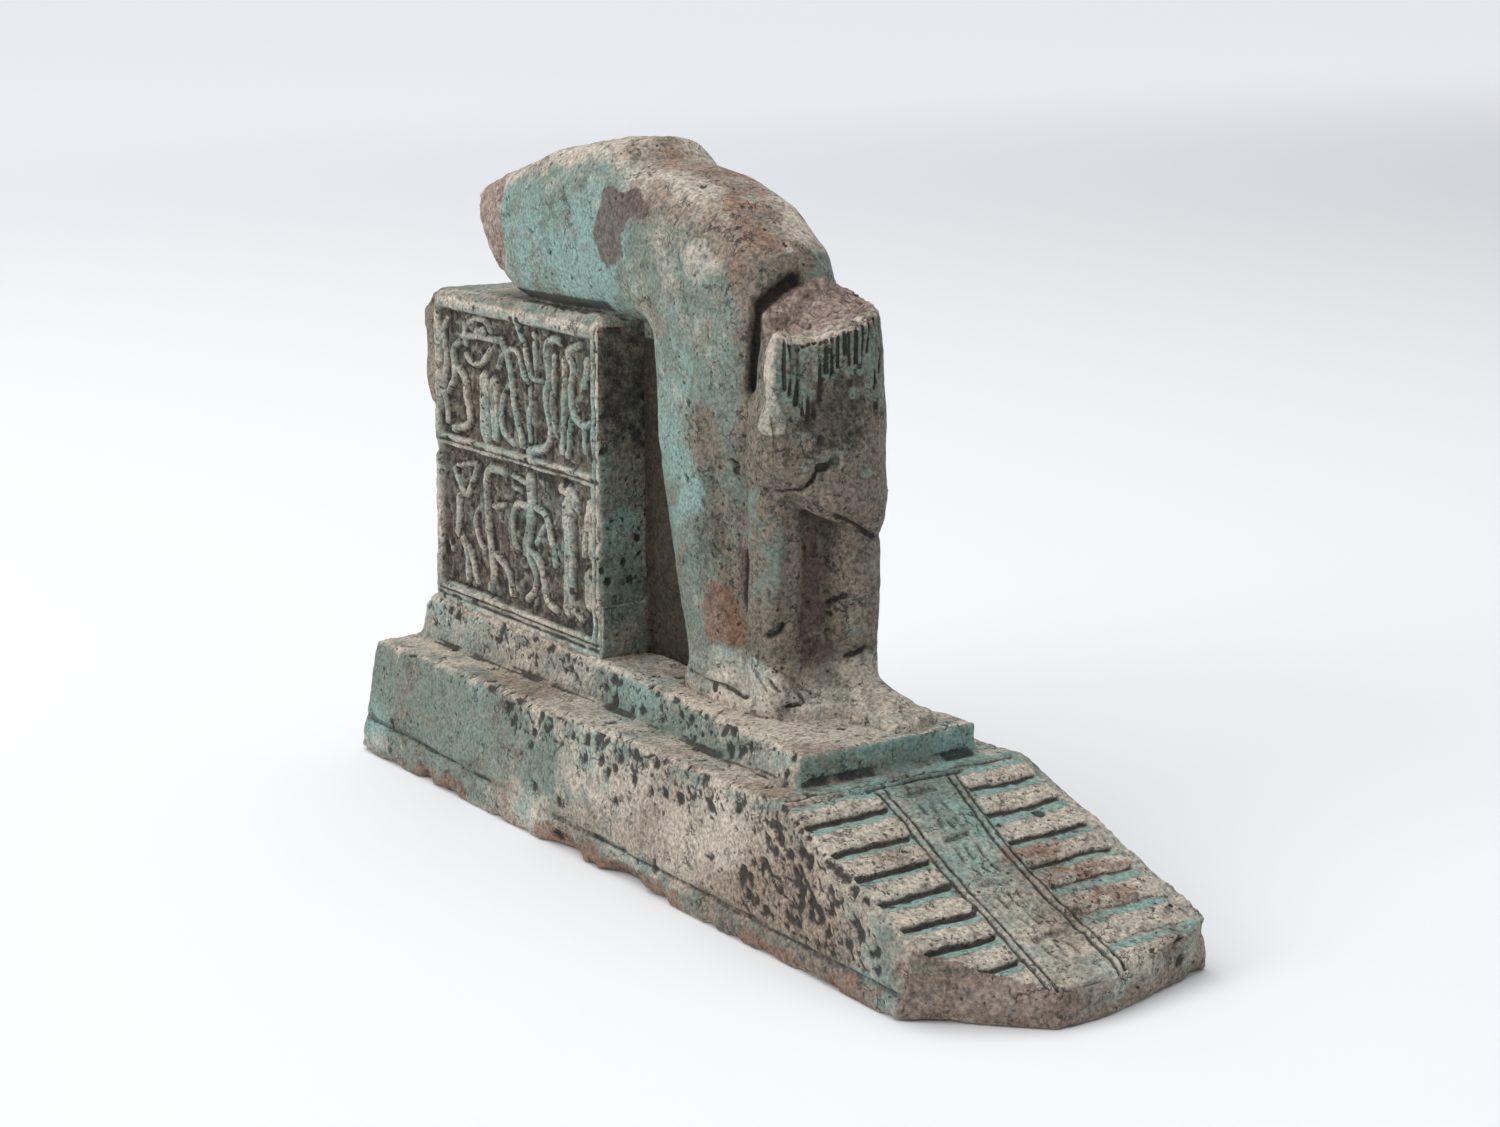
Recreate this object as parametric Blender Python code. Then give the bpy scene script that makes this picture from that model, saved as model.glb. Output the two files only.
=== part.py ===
"""Broken glazed faience group: a seated figure, lost above the lap, on a block throne with relief sides. A
smaller standing figure, lost above the waist, stands before its shins. Both share a long plinth whose front
is a ramp with two flights of low steps. The group is one cast piece. Metres, +Z up, and it faces -Y."""

import math
import random

import bmesh
import bpy
from mathutils import Vector, noise

# Along the plinth, each from the last: throne, shins, standing figure, slab end, ramp
THRONE_SETBACK = 0.0043
THRONE_LENGTH = 0.0366
SHIN_GAP = 0.0067
SHIN_DEPTH = 0.0212
STANDING_OFFSET = 0.0013
TOE_ROOM = 0.0129
RAMP_SETBACK = 0.0024
RAMP_LENGTH = 0.0292

# Up from the ground, each from the last: plinth, slab, throne side, seat, lap
PLINTH_BACK_HEIGHT = 0.0130
PLINTH_FRONT_HEIGHT = 0.0149
SLAB_THICKNESS = 0.0032
THRONE_RISE = 0.0353
SEAT_BACK_RISE = 0.0008
SEAT_FRONT_RISE = 0.0014
LAP_RISE = 0.0182

# Plinth, with battered sides
PLINTH_FOOT_WIDTH = 0.0315
PLINTH_TOP_BACK_WIDTH = 0.0268
PLINTH_TOP_FRONT_WIDTH = 0.0290
PLINTH_BACK_BATTER = 0.0003
SKIRT_BACK_HEIGHT = 0.0041
SKIRT_FRONT_HEIGHT = 0.0023
SKIRT_GROOVE = 0.0005

# Ramp: two flights of steps either side of a framed strip
RAMP_LIP_HEIGHT = 0.0038
STEP_COUNT = 7
STEP_DROP = 0.0008
RAMP_HEAD_MARGIN = 0.0037
RAMP_FOOT_MARGIN = 0.0005
RAMP_NEAR_MARGIN = 0.0007
RAMP_FAR_MARGIN = 0.0018
STRIP_WIDTH = 0.0078
STRIP_SIDE = -0.0009
STRIP_RIB = 0.0009
MARK_ROWS = 7
MARK_WIDTH = 0.0007
MARK_DEPTH = 0.0004

# Foot slab, which runs back under the throne as its flared foot
SLAB_SETBACK = 0.0021
SLAB_BACK_WIDTH = 0.0148
SLAB_FRONT_WIDTH = 0.0208
SLAB_FLARE = 0.0014

# Throne
THRONE_WIDTH = 0.0136
SEAT_WIDTH = 0.0112
BACK_REMNANT_DEPTH = 0.0034
BACK_REMNANT_RISE = 0.0110
WEB_THICKNESS = 0.0022
PANEL_DEPTH = 0.0006
PANEL_BACK_MARGIN = 0.0012
PANEL_FRONT_MARGIN = 0.0016
PANEL_TOP_MARGIN = 0.0012
PANEL_FOOT_MARGIN = 0.0018
REGISTER_BAR = 0.0011
RELIEF_RISE = 0.0005
RELIEF_LINE = 0.0009

# Seated figure, lost above the lap
SEATED_WIDTH = 0.0142
SEATED_SETBACK = 0.0084
FOOT_LENGTH = 0.0150
FOOT_WIDTH = 0.0060
FOOT_HEIGHT = 0.0032

# Standing figure, lost above the waist
STANDING_SIDE = 0.0010
KILT_WIDTH = 0.0140
KILT_THICKNESS = 0.0106
KILT_LENGTH = 0.0186
KILT_HEM_RISE = 0.0207
KILT_HEM_SLANT = 0.0050
WAIST_BREAK_RISE = 0.0048
PLEAT_COUNT = 34
PLEAT_DEPTH = 0.00022
ARM_WIDTH = 0.0026
ARM_LENGTH = 0.0094
NEAR_LEG_WIDTH = 0.0044
FAR_LEG_WIDTH = 0.0060
MOUND_HEIGHT = 0.0036

# Losses
NEAR_CORNER_LOSS_ALONG = 0.0102
NEAR_CORNER_LOSS_ACROSS = 0.0106
FAR_CORNER_LOSS_ALONG = 0.0040
FAR_CORNER_LOSS_ACROSS = 0.0150
CHIP_SIZE = 0.0032

THRONE_END = THRONE_SETBACK + THRONE_LENGTH
KNEE_END = THRONE_END + SHIN_GAP + SHIN_DEPTH
STANDING_DEPTH = KNEE_END + STANDING_OFFSET
SLAB_END = STANDING_DEPTH + TOE_ROOM
RAMP_START = SLAB_END + RAMP_SETBACK
PLINTH_LENGTH = RAMP_START + RAMP_LENGTH
SLAB_TOP = PLINTH_FRONT_HEIGHT + SLAB_THICKNESS
THRONE_TOP = SLAB_TOP + THRONE_RISE
SEAT_TOP = THRONE_TOP + SEAT_FRONT_RISE
KILT_HEM = SLAB_TOP + KILT_HEM_RISE
WAIST_BREAK = KILT_HEM + KILT_LENGTH
NODE = "figurine"


def clear_scene():
    for old in list(bpy.data.objects):
        bpy.data.objects.remove(old, do_unlink=True)


def make_collection(name, hidden):
    made = bpy.data.collections.new(name)
    bpy.context.scene.collection.children.link(made)
    made.hide_render = hidden
    return made


def place(name, bm, collection, helper=True):
    """An object from a bmesh. A helper is a form that is joined to the figurine or cut from it."""
    bmesh.ops.recalc_face_normals(bm, faces=bm.faces)
    mesh = bpy.data.meshes.new(name)
    bm.to_mesh(mesh)
    bm.free()
    made = bpy.data.objects.new(name, mesh)
    collection.objects.link(made)
    if helper:
        made.hide_render = True
        made.display_type = "WIRE"
    return made


def from_back(d):
    """The y of a place that lies d in front of the plinth's back edge."""
    return PLINTH_LENGTH / 2 - d


def plinth_half_width(d, z):
    """Half the plinth's width, which shrinks with height and grows a little towards the ramp."""
    along = min(max(d / RAMP_START, 0), 1)
    top = PLINTH_TOP_BACK_WIDTH + (PLINTH_TOP_FRONT_WIDTH - PLINTH_TOP_BACK_WIDTH) * along
    high = PLINTH_BACK_HEIGHT + (PLINTH_FRONT_HEIGHT - PLINTH_BACK_HEIGHT) * along
    return (PLINTH_FOOT_WIDTH + (top - PLINTH_FOOT_WIDTH) * min(z / high, 1)) / 2


def ramp_place(share, above):
    """The d and z of a point of the ramp: share is 0 at its head and 1 at its lip, above is square to it."""
    fall = PLINTH_FRONT_HEIGHT - RAMP_LIP_HEIGHT
    slope = math.atan2(fall, RAMP_LENGTH)
    d = RAMP_START + RAMP_LENGTH * share + above * math.sin(slope)
    return d, PLINTH_FRONT_HEIGHT - fall * share + above * math.cos(slope)


def ramp_point(share, x, above):
    d, z = ramp_place(share, above)
    return Vector((x, from_back(d), z))


def body_height(share):
    """Heights on the seated figure: 0 at the slab, 1 at the seat and 2 at the top of the lap."""
    if share <= 1:
        return SLAB_TOP + (SEAT_TOP - SLAB_TOP) * share
    return SEAT_TOP + LAP_RISE * (share - 1)


def loft(rings, capped=True):
    """A bmesh skinned over rings of equally many points, with its two ends capped."""
    bm = bmesh.new()
    rows = [[bm.verts.new(point) for point in ring] for ring in rings]
    count = len(rows[0])
    for low, high in zip(rows, rows[1:]):
        for i in range(count):
            j = (i + 1) % count
            bm.faces.new((low[i], low[j], high[j], high[i]))
    if capped:
        bm.faces.new(rows[0])
        bm.faces.new(rows[-1])
    return bm


def level_ring(z, corners):
    return [Vector((x, from_back(d), z)) for d, x in corners]


def rectangle_ring(half_width, back, front, z, flare=0.0):
    """A rectangle seen from above, widened all round by flare."""
    w = half_width + flare
    corners = ((back - flare, -w), (front + flare, -w), (front + flare, w), (back - flare, w))
    return level_ring(z, corners)


def superellipse(count, power):
    """Points round a rounded square of half size 1."""
    for i in range(count):
        turn = 2 * math.pi * i / count
        c, s = math.cos(turn), math.sin(turn)
        yield math.copysign(abs(c) ** (2 / power), c), math.copysign(abs(s) ** (2 / power), s)


def rounded_ring(x, d, z, width, depth, count=16, power=2.3):
    return [
        Vector((x + width / 2 * across, from_back(d) + depth / 2 * back, z))
        for across, back in superellipse(count, power)
    ]


def plinth_form(collection):
    """The plinth with its ramp: its side outline, drawn across the battered width."""
    outline = (
        (0, 0),
        (RAMP_START, 0),
        (PLINTH_LENGTH, 0),
        (PLINTH_LENGTH, RAMP_LIP_HEIGHT),
        (RAMP_START, PLINTH_FRONT_HEIGHT),
        (PLINTH_BACK_BATTER, PLINTH_BACK_HEIGHT),
    )
    sides = []
    for side in (-1, 1):
        sides.append([Vector((side * plinth_half_width(d, z), from_back(d), z)) for d, z in outline])
    return place(NODE, loft(sides), collection, helper=False)


def slab_form(collection):
    """The slab under the feet, which widens from the throne to its front, with sloping sides."""
    foot = PLINTH_BACK_HEIGHT - SLAB_FLARE
    rings = []
    for z, flare, end in ((foot, SLAB_FLARE, SLAB_END - SLAB_FLARE / 2), (SLAB_TOP, 0, SLAB_END)):
        back, front = SLAB_BACK_WIDTH / 2 + flare, SLAB_FRONT_WIDTH / 2 + flare
        start = SLAB_SETBACK - flare / 2
        corners = ((start, -back), (THRONE_END, -back), (end, -front), (end, front), (THRONE_END, back), (start, back))
        rings.append(level_ring(z, corners))
    place("slab", loft(rings), collection)


def throne_form(collection):
    """The block throne, its sloping seat, and the web that joins it to the shins."""
    sink = SLAB_TOP - SLAB_THICKNESS / 2
    half = THRONE_WIDTH / 2
    shoulder = (THRONE_WIDTH - SEAT_WIDTH) / 2
    seat = rectangle_ring(half, THRONE_SETBACK, THRONE_END, SEAT_TOP, -shoulder)
    for corner in (0, 3):
        seat[corner].z = THRONE_TOP + SEAT_BACK_RISE
    rings = [
        rectangle_ring(half, THRONE_SETBACK, THRONE_END, sink, SLAB_FLARE / 4),
        rectangle_ring(half, THRONE_SETBACK, THRONE_END, THRONE_TOP),
        seat,
    ]
    place("throne", loft(rings), collection)
    web_end = THRONE_END + SHIN_GAP + SHIN_DEPTH / 2
    web = [
        rectangle_ring(WEB_THICKNESS / 2, THRONE_END - SHIN_GAP / 2, web_end, z)
        for z in (sink, SEAT_TOP + LAP_RISE / 8)
    ]
    place("web", loft(web), collection)


def back_remnant_form(collection):
    """What is left of the throne's back: a slab whose foot and top are broken off at a slant."""
    half = THRONE_WIDTH / 2 - PANEL_DEPTH
    inside = THRONE_SETBACK + BACK_REMNANT_DEPTH
    back = THRONE_SETBACK - BACK_REMNANT_DEPTH
    foot = THRONE_TOP - BACK_REMNANT_RISE
    outline = (
        (THRONE_SETBACK - BACK_REMNANT_DEPTH * 0.2, foot - BACK_REMNANT_RISE * 0.20),
        (back + BACK_REMNANT_DEPTH * 0.3, foot - BACK_REMNANT_RISE * 0.14),
        (back, foot + BACK_REMNANT_RISE * 0.05),
        (back - BACK_REMNANT_DEPTH * 0.04, THRONE_TOP - BACK_REMNANT_RISE * 0.2),
        (back + BACK_REMNANT_DEPTH * 0.55, THRONE_TOP + SEAT_BACK_RISE * 0.6),
        (inside, THRONE_TOP + SEAT_BACK_RISE * 0.9),
        (inside, foot - BACK_REMNANT_RISE * 0.45),
    )
    sides = [[Vector((side * half, from_back(d), z)) for d, z in outline] for side in (-1, 1)]
    place("back_remnant", loft(sides), collection)


# Rings of the seated figure: underside or back point, top or front point, width and squareness. Each point is
# a share of the way from the hips to the knees, and a height as body_height takes it.
SEATED_ROWS = (
    ((0.090, 1.060), (-0.022, 1.650), 0.80, 2.6),
    ((0.180, 0.985), (0.120, 1.750), 0.97, 3.4),
    ((0.310, 0.976), (0.270, 1.900), 1.00, 3.4),
    ((0.472, 0.979), (0.440, 1.980), 1.01, 3.1),
    ((0.560, 0.980), (0.552, 2.000), 1.01, 2.9),
    ((0.590, 0.984), (0.596, 1.890), 1.01, 2.9),
    ((0.612, 0.984), (0.728, 1.830), 1.00, 2.9),
    ((0.618, 0.968), (0.862, 1.700), 0.99, 2.9),
    ((0.622, 0.945), (0.972, 1.470), 0.98, 2.9),
    ((0.626, 0.905), (1.012, 1.150), 0.97, 3.0),
    ((0.630, 0.820), (1.002, 0.902), 0.95, 3.1),
    ((0.640, 0.684), (0.979, 0.712), 0.94, 3.2),
    ((0.660, 0.538), (0.963, 0.551), 0.92, 3.2),
    ((0.684, 0.393), (0.956, 0.393), 0.90, 3.2),
    ((0.711, 0.248), (0.956, 0.248), 0.88, 3.2),
    ((0.738, 0.103), (0.967, 0.103), 0.88, 3.1),
    ((0.752, -0.029), (0.987, -0.029), 0.91, 3.0),
)


def seated_form(collection):
    """The lap, knees and shins as one mass under a tight dress."""
    start = THRONE_SETBACK + SEATED_SETBACK
    reach = KNEE_END - start
    rings = []
    for inner, outer, width, power in SEATED_ROWS:
        low, high = (Vector((0, from_back(start + reach * d), body_height(h))) for d, h in (inner, outer))
        middle, arm = (low + high) / 2, (high - low) / 2
        half = Vector((SEATED_WIDTH * width / 2, 0, 0))
        rings.append([middle + arm * up + half * across for across, up in superellipse(28, power)])
    place("seated_figure", loft(rings), collection)


def foot_form(name, x, heel, length, width, height, collection):
    """A long low foot with five toes, from its heel forward."""
    sole = SLAB_TOP - SLAB_THICKNESS / 3
    rings = []
    for share, wide, tall in ((0, 0.72, 1.3), (0.2, 0.9, 1.4), (0.45, 1, 1), (0.75, 1.06, 0.6), (0.93, 1.04, 0.4)):
        top = SLAB_TOP + height * tall - sole
        ring = []
        for across, up in superellipse(16, 2.4):
            ring.append(Vector((x + width / 2 * wide * across, from_back(heel + length * share), sole + top * max(up, 0))))
        rings.append(ring)
    place(name, loft(rings), collection)
    toe = width / 5
    for i in range(5):
        bm = bmesh.new()
        bmesh.ops.create_icosphere(bm, subdivisions=1, radius=1)
        bmesh.ops.scale(bm, vec=(toe * 0.55, length * 0.12, height * 0.34), verts=bm.verts)
        tip = from_back(heel + length * (0.92 - 0.04 * abs(i - 1)))
        bmesh.ops.translate(bm, vec=(x + toe * (i - 2), tip, SLAB_TOP + height * 0.12), verts=bm.verts)
        place(f"{name}_toe_{i}", bm, collection)


def kilt_ring(height, size, pleated, slant, broken):
    """One ring of the kilt. Slant lowers its far side, and broken lifts it to the slope of the waist's break."""
    count = PLEAT_COUNT * 2
    ring = []
    for i in range(count):
        turn = 2 * math.pi * i / count
        c, s = math.cos(turn), math.sin(turn)
        ridge = PLEAT_DEPTH * pleated * (1 if i % 2 else -1)
        x = STANDING_SIDE + c * (KILT_WIDTH / 2 * size + ridge)
        y = from_back(STANDING_DEPTH) + s * (KILT_THICKNESS / 2 * size + ridge)
        lift = WAIST_BREAK_RISE * (0.46 * s + 0.37 * c - 0.18 * math.cos(2 * turn)) * broken
        ring.append(Vector((x, y, height + lift - KILT_HEM_SLANT * 0.5 * c * slant)))
    return ring


def kilt_form(collection):
    """A pleated kilt broken off at the waist, with the break rising to the back."""
    rings = [
        kilt_ring(KILT_HEM - KILT_LENGTH * 0.08, 0.80, 0, 1, 0),
        kilt_ring(KILT_HEM, 0.98, 0.4, 1, 0),
        kilt_ring(KILT_HEM + KILT_LENGTH * 0.15, 1.00, 1, 0.9, 0),
        kilt_ring(KILT_HEM + KILT_LENGTH * 0.52, 0.97, 1, 0.3, 0),
        kilt_ring(KILT_HEM + KILT_LENGTH * 0.82, 0.90, 1, 0, 0.5),
        kilt_ring(WAIST_BREAK, 0.845, 0.8, 0, 1),
    ]
    bm = loft(rings, capped=False)
    bm.verts.ensure_lookup_table()
    count = len(rings[0])
    for first, lift in ((0, 0), (len(bm.verts) - count, WAIST_BREAK_RISE * 0.15)):
        rim = [bm.verts[first + i] for i in range(count)]
        middle = sum((vert.co for vert in rim), Vector()) / count
        tip = bm.verts.new(middle + Vector((0, 0, lift)))
        for i in range(count):
            bm.faces.new((rim[i], rim[(i + 1) % count], tip))
        bm.verts.ensure_lookup_table()
    place("kilt", bm, collection)


def arm_form(collection):
    """The worn stump of the standing figure's near arm, lying along the kilt."""
    turn = math.radians(203)
    bm = bmesh.new()
    bmesh.ops.create_uvsphere(bm, u_segments=10, v_segments=8, radius=1)
    bmesh.ops.scale(bm, vec=(ARM_WIDTH * 0.42, ARM_WIDTH * 0.62, ARM_LENGTH / 2), verts=bm.verts)
    x = STANDING_SIDE + math.cos(turn) * KILT_WIDTH * 0.45
    y = from_back(STANDING_DEPTH) + math.sin(turn) * KILT_THICKNESS * 0.45
    bmesh.ops.translate(bm, vec=(x, y, WAIST_BREAK - ARM_LENGTH * 0.62), verts=bm.verts)
    place("arm_stump", bm, collection)


def leg_form(name, x, d, width, depth, collection):
    """A leg from the slab to inside the kilt, swelling at the calf."""
    foot, top = SLAB_TOP - SLAB_THICKNESS / 3, KILT_HEM + KILT_LENGTH * 0.12
    rings = []
    for share, size in ((0, 1.2), (0.12, 1.0), (0.3, 0.94), (0.62, 1.04), (1, 1.02)):
        rings.append(rounded_ring(x, d, foot + (top - foot) * share, width * size, depth * size))
    place(name, loft(rings), collection)


def mound_form(collection):
    """The low mass that the standing figure's feet and ankles run into."""
    bm = bmesh.new()
    bmesh.ops.create_uvsphere(bm, u_segments=14, v_segments=8, radius=1)
    bmesh.ops.scale(bm, vec=(KILT_WIDTH * 0.42, KILT_THICKNESS * 0.55, MOUND_HEIGHT), verts=bm.verts)
    middle = (STANDING_SIDE, from_back(STANDING_DEPTH - KILT_THICKNESS * 0.08), SLAB_TOP)
    bmesh.ops.translate(bm, vec=middle, verts=bm.verts)
    place("foot_mound", bm, collection)


def figure_forms(collection):
    seated_form(collection)
    heel = THRONE_END + SHIN_GAP + SHIN_DEPTH * 0.36
    for name, side in (("near", -1), ("far", 1)):
        x = side * SEATED_WIDTH * 0.26
        foot_form(f"seated_{name}_foot", x, heel, FOOT_LENGTH, FOOT_WIDTH, FOOT_HEIGHT, collection)
    kilt_form(collection)
    arm_form(collection)
    mound_form(collection)
    near_x, far_x = STANDING_SIDE - KILT_WIDTH * 0.34, STANDING_SIDE + KILT_WIDTH * 0.21
    near_d, far_d = STANDING_DEPTH - NEAR_LEG_WIDTH * 0.25, STANDING_DEPTH + FAR_LEG_WIDTH * 0.05
    leg_form("near_leg", near_x, near_d, NEAR_LEG_WIDTH, NEAR_LEG_WIDTH * 1.3, collection)
    leg_form("far_leg", far_x, far_d, FAR_LEG_WIDTH, FAR_LEG_WIDTH * 1.1, collection)
    stride = far_d - FAR_LEG_WIDTH * 0.45
    ahead = (SLAB_END - stride) * 0.97
    foot_form("far_forward_foot", far_x * 1.06, stride, ahead, FAR_LEG_WIDTH * 1.15, FOOT_HEIGHT, collection)


def stroke(points, width, rise, depth, surface, wide_foot=True):
    """One raised or sunk line. Its points are shares of a field, and surface turns a point and a height above
    the field into space. A raised line is widest at its foot, and a sunk one at its mouth."""
    low, high = (0.6, 0.28) if wide_foot else (0.15, 0.6)
    rings = []
    last = len(points) - 1
    for i, (u, v) in enumerate(points):
        here = surface(u, v, 0)
        along = (surface(*points[min(i + 1, last)], 0) - surface(*points[max(i - 1, 0)], 0)).normalized()
        out = (surface(u, v, 1) - here).normalized()
        across = along.cross(out).normalized() * width
        foot = here + along * width * 0.3 * ((i == last) - (i == 0)) - out * depth
        top = foot + out * (depth + rise)
        rings.append([foot - across * low, foot + across * low, top + across * high, top - across * high])
    return loft(rings)


def worshipper():
    """A striding figure with both arms raised."""
    return (
        ((0.05, 0.97), (0.30, 0.66), (0.52, 0.72), (0.80, 0.97)),
        ((0.30, 0.66), (0.24, 0.42), (0.56, 0.27), (0.50, 0.03)),
        ((0.56, 0.27), (0.86, 0.22), (0.92, 0.03)),
        ((0.18, 0.92), (0.62, 0.94)),
    )


def stooping_figure():
    """A figure bent forward under a tall headdress, one arm out before it."""
    return (
        ((0.98, 0.96), (0.52, 0.96), (0.36, 0.86), (0.40, 0.40), (0.44, 0.03)),
        ((0.50, 0.34), (0.80, 0.24), (0.98, 0.03)),
        ((0.46, 0.66), (0.78, 0.74), (0.90, 0.64)),
        ((0.24, 0.66), (0.05, 0.50), (0.12, 0.34), (0.30, 0.28)),
    )


def winged_figure():
    """A kneeling figure with its arms or wings held down and out."""
    return (
        ((0.46, 0.97), (0.47, 0.76), (0.44, 0.58), (0.34, 0.42), (0.62, 0.30), (0.56, 0.14), (0.36, 0.03)),
        ((0.47, 0.76), (0.18, 0.78), (0.04, 0.64), (0.06, 0.42), (0.18, 0.36)),
        ((0.47, 0.76), (0.76, 0.76), (0.92, 0.60), (0.96, 0.36)),
        ((0.40, 0.40), (0.72, 0.26), (0.76, 0.06), (0.98, 0.04)),
        ((0.30, 0.92), (0.62, 0.93)),
    )


def wrapped_figure():
    """An upright wrapped figure with its feet together."""
    return (
        ((0.34, 0.90), (0.30, 0.60), (0.34, 0.06)),
        ((0.30, 0.92), (0.62, 0.88), (0.72, 0.60), (0.64, 0.06), (0.98, 0.03)),
        ((0.39, 0.08), (0.61, 0.05)),
    )


def jar_and_cone():
    """A tall cone above a jar."""
    return (
        ((0.44, 0.94), (0.28, 0.52), (0.78, 0.52), (0.60, 0.94)),
        ((0.20, 0.36), (0.82, 0.37), (0.90, 0.10), (0.30, 0.08), (0.26, 0.33)),
    )


def curled_beast():
    """A seated beast: one long back line, and a belly line that curls under it."""
    return (
        ((0.62, 0.93), (0.14, 0.86), (0.05, 0.60), (0.16, 0.46), (0.08, 0.24), (0.16, 0.04)),
        ((0.30, 0.50), (0.74, 0.46), (0.70, 0.26), (0.98, 0.06), (0.40, 0.03)),
        ((0.30, 0.70), (0.56, 0.60), (0.98, 0.66)),
    )


def offering_table():
    """A loaf above a table on a stand."""
    return (
        ((0.14, 0.56), (0.88, 0.56)),
        ((0.32, 0.54), (0.28, 0.04)),
        ((0.68, 0.54), (0.76, 0.04)),
        ((0.50, 0.54), (0.50, 0.04)),
        ((0.24, 0.78), (0.40, 0.90), (0.66, 0.88), (0.76, 0.74), (0.50, 0.68), (0.27, 0.74)),
    )


def striding_figure():
    """A figure in full stride with its arms spread."""
    return (
        ((0.42, 0.95), (0.44, 0.56), (0.20, 0.34), (0.16, 0.04), (0.40, 0.04)),
        ((0.44, 0.56), (0.60, 0.30), (0.78, 0.04)),
        ((0.05, 0.62), (0.42, 0.84), (0.74, 0.58), (0.98, 0.62)),
    )


def serpent():
    """A rearing serpent beside a staff."""
    return (
        ((0.96, 0.90), (0.60, 0.90), (0.50, 0.74), (0.68, 0.56), (0.50, 0.38), (0.66, 0.18), (0.40, 0.03), (0.04, 0.05)),
        ((0.14, 0.86), (0.16, 0.24)),
    )


def long_legged_bird():
    """A long-legged bird beside a staff."""
    return (
        ((0.98, 0.84), (0.60, 0.95), (0.36, 0.84), (0.54, 0.66), (0.40, 0.42), (0.70, 0.28), (0.96, 0.32)),
        ((0.40, 0.42), (0.34, 0.03)),
        ((0.72, 0.28), (0.74, 0.03)),
        ((0.10, 0.82), (0.12, 0.05)),
    )


# Each register, from the back of the throne to its front: a motif and the shares of the length it spans
LOWER_REGISTER = (
    (worshipper, 0.05, 0.27),
    (stooping_figure, 0.25, 0.50),
    (winged_figure, 0.49, 0.78),
    (wrapped_figure, 0.76, 0.92),
    (jar_and_cone, 0.87, 1.00),
)
UPPER_REGISTER = (
    (curled_beast, 0.03, 0.26),
    (offering_table, 0.25, 0.43),
    (striding_figure, 0.40, 0.65),
    (serpent, 0.62, 0.82),
    (long_legged_bird, 0.82, 1.00),
)
FAR_LOWER_REGISTER = (
    (wrapped_figure, 0.06, 0.24),
    (winged_figure, 0.30, 0.66),
    (worshipper, 0.72, 0.97),
)
FAR_UPPER_REGISTER = (
    (serpent, 0.08, 0.30),
    (offering_table, 0.38, 0.62),
    (long_legged_bird, 0.72, 0.95),
)


def register_boxes():
    """The lower and upper register: start and end along the throne, and foot and top."""
    start, end = THRONE_SETBACK + PANEL_BACK_MARGIN, THRONE_END - PANEL_FRONT_MARGIN
    foot, top = SLAB_TOP + PANEL_FOOT_MARGIN, THRONE_TOP - PANEL_TOP_MARGIN
    bar = foot + (top - foot) * 0.53
    return (start, end, foot, bar - REGISTER_BAR / 2), (start, end, bar + REGISTER_BAR / 2, top)


def panel_cutters(collection):
    """The sunk registers on both sides of the throne, with their walls sloping inwards."""
    surface = THRONE_WIDTH / 2
    for side in (-1, 1):
        for level, (start, end, foot, top) in enumerate(register_boxes()):
            rings = []
            for inwards in (1, -1):
                slope = PANEL_DEPTH * 0.5 * inwards
                x = side * (surface - PANEL_DEPTH * inwards)
                low, high = foot + slope, top - slope
                corners = ((start + slope, low), (end - slope, low), (end - slope, high), (start + slope, high))
                rings.append([Vector((x, from_back(d), z)) for d, z in corners])
            place(f"panel_{side}_{level}", loft(rings), collection)


def relief_forms(collection):
    """The figures of the registers, as raised lines."""
    floor = THRONE_WIDTH / 2 - PANEL_DEPTH
    sides = ((-1, (LOWER_REGISTER, UPPER_REGISTER)), (1, (FAR_LOWER_REGISTER, FAR_UPPER_REGISTER)))
    for side, registers in sides:
        for level, (register, box) in enumerate(zip(registers, register_boxes())):
            start, end, foot, top = box

            def surface(u, v, above, side=side, start=start, end=end, foot=foot, top=top):
                y = from_back(start + (end - start) * u)
                return Vector((side * (floor + above), y, foot + (top - foot) * v))

            for k, (motif, left, right) in enumerate(register):
                for n, points in enumerate(motif()):
                    laid = [(left + (right - left) * u, v) for u, v in points]
                    bm = stroke(laid, RELIEF_LINE, RELIEF_RISE, PANEL_DEPTH, surface)
                    place(f"relief_{side}_{level}_{k}_{n}", bm, collection)


def ramp_shares():
    """Where the steps start and end, as shares of the ramp."""
    return RAMP_HEAD_MARGIN / RAMP_LENGTH, 1 - RAMP_FOOT_MARGIN / RAMP_LENGTH


def step_cutters(collection):
    """The steps of both flights: each is a wedge cut deepest at its upper edge, under the riser above it."""
    head, foot = ramp_shares()
    pitch = (foot - head) / STEP_COUNT
    for side, margin in ((-1, RAMP_NEAR_MARGIN), (1, RAMP_FAR_MARGIN)):
        inner = STRIP_SIDE + side * (STRIP_WIDTH / 2 + STRIP_RIB)
        for i in range(STEP_COUNT):
            top, low = head + pitch * i, head + pitch * (i + 0.97)
            profile = ((top, -STEP_DROP), (low, -STEP_DROP * 0.1), (low, STEP_DROP), (top, STEP_DROP))
            inside = [ramp_point(share, inner, height) for share, height in profile]
            outside = []
            for share, height in profile:
                d, z = ramp_place(share, 0)
                outside.append(ramp_point(share, side * (plinth_half_width(d, z) - margin), height))
            place(f"step_{side}_{i}", loft([inside, outside]), collection)


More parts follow.
